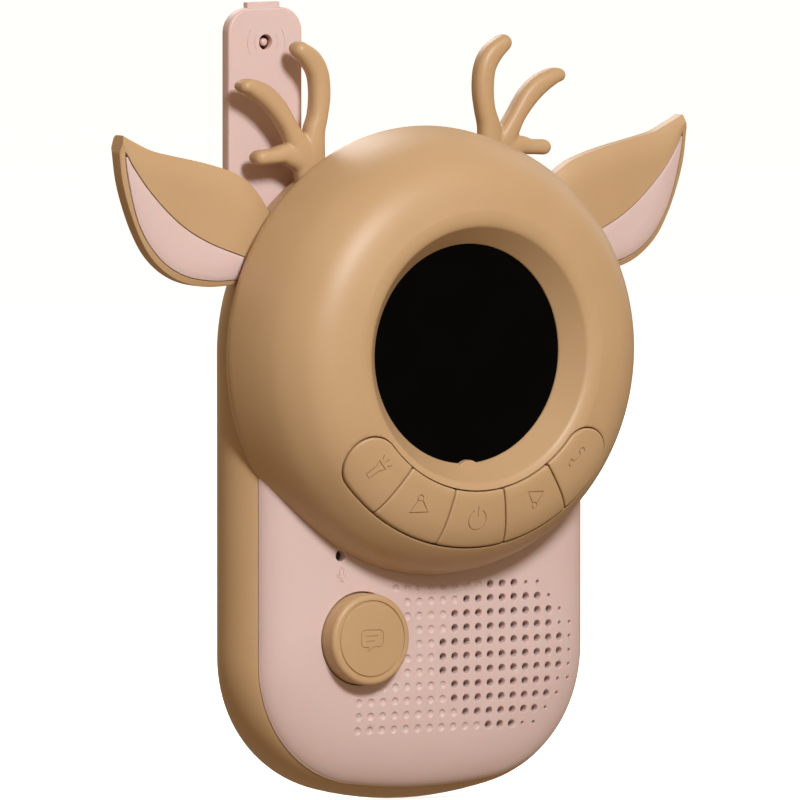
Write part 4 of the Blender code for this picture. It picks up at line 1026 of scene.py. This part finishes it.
# antlers: three tines that grow out of one root

antler = {
    "front": 3.9, "edge": 5.2, "back": 7.8,
    "tines": (
        ((-19.2, 109.5, 2.7), (-18.9, 112.5, 2.5), (-18.5, 118.4, 2.0), (-17.7, 121.4, 1.75),
         (-17.25, 125.0, 1.85), (-17.6, 128.8, 1.9), (-19.05, 131.4, 1.9), (-21.4, 133.3, 1.5)),
        ((-19.6, 110.5, 2.4), (-20.8, 114.5, 2.3), (-22.6, 117.6, 1.9), (-24.2, 120.3, 1.65),
         (-26.6, 123.5, 1.85), (-29.0, 125.6, 1.85), (-31.8, 127.0, 1.5), (-33.0, 127.2, 1.25)),
        ((-18.0, 111.0, 2.4), (-19.5, 113.0, 2.5), (-24.3, 114.9, 1.85), (-27.1, 114.65, 1.4),
         (-29.8, 114.5, 1.4)),
    ),  # x, z and half width along each tine, from root to tip
    "meshStep": 0.26, "blend": 7,
}


def tineInto(bm, points, side):
    line = smooth(points, 6)
    tipX, tipZ, tipR = line[-1]
    dx, dz = tipX - line[-2][0], tipZ - line[-2][1]
    length = math.hypot(dx, dz)
    for k in range(1, 6):
        angle = math.pi / 2 * k / 5.6
        reach = tipR * math.sin(angle)
        line.append((tipX + dx / length * reach, tipZ + dz / length * reach, tipR * math.cos(angle)))
    rings = []
    for k, (x, z, half) in enumerate(line):
        before, after = line[max(k - 1, 0)], line[min(k + 1, len(line) - 1)]
        lean = math.atan2(after[1] - before[1], after[0] - before[0])
        nx, nz = -math.sin(lean), math.cos(lean)
        ring = []
        shrink = min(half / tipR, 1.0) if k >= len(line) - 5 else 1.0
        middle = (antler["edge"] + antler["back"]) / 2
        for step in range(24):
            angle = 2 * math.pi * step / 24
            across = math.copysign(abs(math.cos(angle)) ** 0.75, math.cos(angle)) * half
            if math.sin(angle) > 0:
                depth = antler["edge"] - (antler["edge"] - antler["front"]) * math.sin(angle) ** 1.3
            else:
                depth = antler["edge"] + (antler["back"] - antler["edge"]) * abs(math.sin(angle)) ** 0.6
            depth = middle + (depth - middle) * (0.45 + 0.55 * shrink)
            ring.append(at(sideOf(x + nx * across, side), depth, z + nz * across))
        rings.append(ring)
    loftInto(bm, rings)


def makeAntler(side):
    pieces = [solid("tine", tineInto, points, side) for points in antler["tines"]]
    piece = pieces[0]
    piece.name = "antlerBranch_" + side
    carve(piece, *pieces[1:], how="UNION")
    even = piece.modifiers.new("even mesh", "REMESH")
    even.mode = "VOXEL"
    even.voxel_size = antler["meshStep"] * mm
    relaxed = piece.modifiers.new("blended joints", "SMOOTH")
    relaxed.factor = 0.5
    relaxed.iterations = antler["blend"]
    settle(piece)
    finishPiece(piece, tanAbs, "body", "tan_abs", "antler_" + side, sharp=70)


for sideName in ("left", "right"):
    makeAntler(sideName)
print("antlers made")


# antenna blade with its lamp

def makeBlade():
    back = blade["front"] + blade["t"]
    sections = [(0.45, 0.0), (0.25, 0.06), (0.1, 0.18), (0.02, 0.36), (0.0, 0.6)]
    rings = [(inset, blade["front"] + d) for inset, d in sections]
    rings += [(0.0, back - 0.9), (0.08, back - 0.5), (0.3, back - 0.2), (0.7, back - 0.04), (1.0, back)]
    piece = solid("antennaBlade", loftInto, [[at(x, d, z) for x, z in bladeOutline(i)] for i, d in rings])
    middle = blade["front"] + blade["t"] / 2
    half, t = blade["tabW"] / 2, blade["tabT"] / 2
    tab = solid("tab", box, (blade["x"] - half, middle - t, blade["top"] - 1),
                (blade["x"] + half, middle + t, blade["top"] + blade["tabH"]))
    soften(tab, 0.15)
    carve(piece, tab, how="UNION")
    holeR = blade["ledHoleR"]
    cuts = bmesh.new()
    led = ((holeR + 0.18, -0.5), (holeR + 0.18, 0.0), (holeR + 0.05, 0.06), (holeR, 0.2), (holeR, 1.2))
    loftInto(cuts, rounds(blade["x"], blade["ledZ"], [(r, blade["front"] + d) for r, d in led], 40))
    waves = []
    for radius, spread in blade["waves"]:
        for centre in (0, 180):
            waves.append(arc(blade["x"], blade["ledZ"], radius, centre - spread, centre + spread, 12))
    cutters = strokes(waves, blade["waveW"], lambda x, z: blade["front"], blade["waveDeep"])
    carve(piece, solidOf("cuts", cuts), *cutters)
    finishPiece(piece, pinkAbs, "body", "pink_abs", "antenna_blade")
    lamp = [(0, 0.25), (0.35, 0.28), (0.58, 0.4), (0.68, 0.62), (0.68, 1.15), (0, 1.15)]
    profile = [(r, blade["front"] + d) for r, d in lamp]
    lens = solid("lampLens", turnedInto, profile, blade["x"], blade["ledZ"], 32)
    finishPiece(lens, clearLens, "body", "clear_led", "torch_led")


makeBlade()
print("antenna made")


# battery door, cells, springs and screws

def makeDoor():
    front = backDepth - shell["doorT"]
    outline, screwZ = doorOutline()
    rings = [(0.0, front), (0.0, backDepth - 0.25), (0.08, backDepth - 0.08), (0.28, backDepth)]
    piece = solid("batteryDoor", loftInto,
                  [[at(x, d, z) for x, z in grow(outline, -i - 1e-3)] for i, d in rings])
    cuts = bmesh.new()
    sunk = shell["screwHeadR"] + gap
    seat = ((sunk, backDepth - 0.8), (sunk, backDepth - 0.15), (sunk + 0.3, backDepth + 0.15))
    loftInto(cuts, rounds(0, screwZ, seat, 40))
    prismInto(cuts, circle(0, screwZ, shell["shaftR"] + gap, 24), front - 1, backDepth - 0.5)
    # grip grooves for the thumb near the hinge
    for k in range(6):
        z = shell["bayLow"] + 4 + 1.6 * k
        half = 7.0 - 0.5 * abs(k - 2.5)
        slot = arc(half, z, 0.4, -90, 90, 8) + arc(-half, z, 0.4, 90, 270, 8)
        sides = ((-0.12, backDepth - 0.4), (0.0, backDepth - 0.1), (0.18, backDepth + 0.1))
        loftInto(cuts, [[at(x, d, pz) for x, pz in grow(slot, g)] for g, d in sides])
    carve(piece, solidOf("cuts", cuts))
    finishPiece(piece, tanAbs, "door", "tan_abs", "battery_door")


def makeScrew(name, x, z, headBack, headFront, tip, bodyName, node):
    # pan head with a cross recess, and a thread of shallow rings
    r, shaft = shell["screwHeadR"], shell["shaftR"]
    way = -1 if tip < headBack else 1
    profile = [(0, headBack), (r - 0.7, headBack + way * 0.02), (r - 0.25, headBack + way * 0.14),
               (r - 0.02, headBack + way * 0.4), (r, headFront), (shaft * 0.8, headFront)]
    turns = int(abs(tip - headFront) / 0.8)
    for k in range(turns):
        near = headFront + way * (0.4 + 0.8 * k)
        profile += [(shaft * 0.8, near), (shaft, near + way * 0.2), (shaft * 0.8, near + way * 0.4)]
    profile.append((0, tip))
    piece = solid(name, turnedInto, profile, x, z, 32)
    cross = bmesh.new()
    low, high = sorted((headBack - way, headBack + way * 0.45))
    box(cross, (x - 1.5, low, z - 0.3), (x + 1.5, high, z + 0.3))
    second = solid("second", box, (x - 0.3, low, z - 1.5), (x + 0.3, high, z + 1.5))
    carve(piece, solidOf("cross", cross), second)
    finishPiece(piece, zincSteel, bodyName, "zinc_steel", node, sharp=30)


def makeCells():
    low, top = shell["bayLow"], bayTop
    depth = bayFloor + gap + shell["cellR"]
    r, length, nub = shell["cellR"], shell["cellLength"], 0.9
    flat = length - nub
    section = [(r - 0.9, 0.0), (r - 0.35, 0.08), (r - 0.05, 0.4), (r, 0.7), (r, flat - 0.7),
               (r - 0.08, flat - 0.3), (r - 0.5, flat), (2.3, flat), (2.2, length - 0.2), (2.0, length)]
    for k, x in enumerate((-cellStep, 0.0, cellStep)):
        up = k % 2 == 0
        base = low + 2 * gap + shell["springRoom"]
        rings = []
        for radius, height in section:
            z = base + height if up else low + top - base - height
            rings.append([at(x + px, depth + py, z) for px, py in circle(0, 0, radius, 56)])
        piece = solid(f"cell_{k + 1}", loftInto, rings)
        finishPiece(piece, shrinkWrap, "body", "cell_wrap", f"battery_{k + 1}")
        # the conical contact spring, three turns of wire
        count, wireR, wideR, narrowing, turns, tall = 72, 0.3, 3.9, 1.5, 3, 2.8
        curve = bpy.data.curves.new(f"spring_{k + 1}", "CURVE")
        curve.dimensions = "3D"
        curve.bevel_depth = wireR * mm
        curve.bevel_resolution = 3
        curve.use_fill_caps = True
        line = curve.splines.new("POLY")
        line.points.add(count)
        for i in range(count + 1):
            share = i / count
            radius, angle = wideR - narrowing * share, 2 * math.pi * turns * share
            height = low + gap + wireR + share * tall
            z = height if up else low + top - height
            line.points[i].co = (*at(x + radius * math.cos(angle), depth + radius * math.sin(angle), z), 1)
        curve.materials.append(zincSteel)
        spring = bpy.data.objects.new(f"spring_{k + 1}", curve)
        bpy.context.scene.collection.objects.link(spring)
        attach(spring, "body")
        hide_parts(f"contact_spring_{k + 1}")


makeDoor()
doorScrewZ = doorOutline()[1]
makeScrew("doorScrew", 0, doorScrewZ, backDepth - 0.1, backDepth - 0.6, backDepth - 6.2,
          "door_screw", "door_screw")
for number, (screwX, screwZ) in enumerate(shell["screws"], 1):
    seat = shell["screwSeat"] + gap
    makeScrew(f"caseScrew_{number}", screwX, screwZ, seat + 1.5, seat, -0.8, "body", f"housing_screw_{number}")
makeCells()
print("door, cells and screws made")


# what stays as packed, inside the case, takes its finish

insideFinishes = {
    "display_driver": darkPolymer, "display_module": darkPolymer, "sound_chip": darkPolymer,
    "talk_switch": darkPolymer, "speaker_magnet": darkPolymer, "head_board": greenBoard,
    "main_board": greenBoard, "radio_module": zincSteel, "speaker_frame": zincSteel, "microphone": zincSteel,
    "speaker_cone": paperPulp, "microphone_boot": softSilicone, "key_pad": softSilicone,
    "ribbon_cable": flatCable, "aerial_strip": copperFoil,
    "head_screw_1": zincSteel, "head_screw_2": zincSteel, "head_screw_3": zincSteel,
    "contact_plate_1": nickelContact, "contact_plate_2": nickelContact, "contact_plate_3": nickelContact,
}
for nodeName, nodeFinish in insideFinishes.items():
    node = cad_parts[nodeName]
    node.data.materials.clear()
    node.data.materials.append(nodeFinish)


# camera, floor and light

studio = {
    # the camera's direction in degrees, what it sees across and its aim in mm, its distance in m
    "azimuth": -33.07, "elevation": 3.9, "frameWidth": 141.5178, "across": -3.361, "up": 70.76, "away": 5.0,
    "key": {"azimuth": -13, "elevation": 31, "away": 1.0, "size": 0.2, "power": 9.2, "colour": "fdfcff"},
    "side": {"azimuth": 110, "elevation": 25, "away": 1.0, "size": 0.8, "power": 1.6, "colour": "ffffff"},
    "back": {"azimuth": 172, "elevation": 35, "away": 1.0, "size": 0.6, "power": 5.0, "colour": "ffffff"},
    "worldColour": "e9c9a6", "worldStrength": 0.39, "backdropStrength": 1.05, "sweepGlow": 0.82,
    "lightAim": 0.075, "sensor": 36,
}


def aim(azimuth, elevation):
    # unit vector from the object to something at that azimuth and elevation
    a, e = math.radians(azimuth), math.radians(elevation)
    return Vector((math.sin(a) * math.cos(e), -math.cos(a) * math.cos(e), math.sin(e)))


def makeCamera():
    back = aim(studio["azimuth"], studio["elevation"])
    turn = (-back).to_track_quat("-Z", "Y")
    right, up = turn @ Vector((1, 0, 0)), turn @ Vector((0, 1, 0))
    target = at(0, 0, 0) + right * studio["across"] * mm + up * studio["up"] * mm
    data = bpy.data.cameras.new("camera")
    data.sensor_width = studio["sensor"]
    data.lens = studio["sensor"] * studio["away"] / (studio["frameWidth"] * mm)
    data.clip_end = 50
    camera = bpy.data.objects.new("camera", data)
    camera.location = target + back * studio["away"]
    camera.rotation_mode = "QUATERNION"
    camera.rotation_quaternion = turn
    bpy.context.scene.collection.objects.link(camera)
    bpy.context.scene.camera = camera


def makeLight(name):
    look = studio[name]
    data = bpy.data.lights.new(name, "AREA")
    data.shape = "DISK"
    data.size = look["size"]
    data.energy = look["power"]
    data.color = linear(look["colour"])[:3]
    light = bpy.data.objects.new(name, data)
    way = aim(look["azimuth"], look["elevation"])
    light.location = Vector((0, 0, studio["lightAim"])) + way * look["away"]
    light.rotation_mode = "QUATERNION"
    light.rotation_quaternion = (-way).to_track_quat("-Z", "Y")
    bpy.context.scene.collection.objects.link(light)


def makeFloor():
    bm = bmesh.new()
    bmesh.ops.create_grid(bm, x_segments=1, y_segments=1, size=12)
    mesh = bpy.data.meshes.new("floor")
    bm.to_mesh(mesh)
    bm.free()
    floor = bpy.data.objects.new("floor", mesh)
    floor.location.z = -0.0002
    # White paper sweep, matt: it glows a little, so that it stays an even white round the object.
    finish, tree, shader = newFinish(
        "pale_paper_sweep", {"Emission Color": (1, 1, 1, 1), "Emission Strength": studio["sweepGlow"]})
    cloudyColour(tree, shader, "f4f4f4", "f8f8f8", 90)
    mesh.materials.append(finish)
    # it doesn't light the object from below
    floor.visible_diffuse = False
    floor.visible_glossy = False
    bpy.context.scene.collection.objects.link(floor)


def makeWorld():
    world = bpy.data.worlds.new("studio")
    bpy.context.scene.world = world
    world.use_nodes = True
    tree = world.node_tree
    tree.nodes.clear()
    warm = addNode(tree, "ShaderNodeBackground",
                   {"Color": linear(studio["worldColour"]), "Strength": studio["worldStrength"]})
    white = addNode(tree, "ShaderNodeBackground",
                    {"Color": (1, 1, 1, 1), "Strength": studio["backdropStrength"]})
    path = addNode(tree, "ShaderNodeLightPath")
    mixed = addNode(tree, "ShaderNodeMixShader", links={"Fac": (path, "Is Camera Ray")})
    tree.links.new(warm.outputs["Background"], mixed.inputs[1])
    tree.links.new(white.outputs["Background"], mixed.inputs[2])
    addNode(tree, "ShaderNodeOutputWorld", links={"Surface": (mixed, "Shader")})


makeCamera()
for lightName in ("key", "side", "back"):
    makeLight(lightName)
makeFloor()
makeWorld()
bpy.context.scene.view_settings.view_transform = "Standard"
print("studio made")
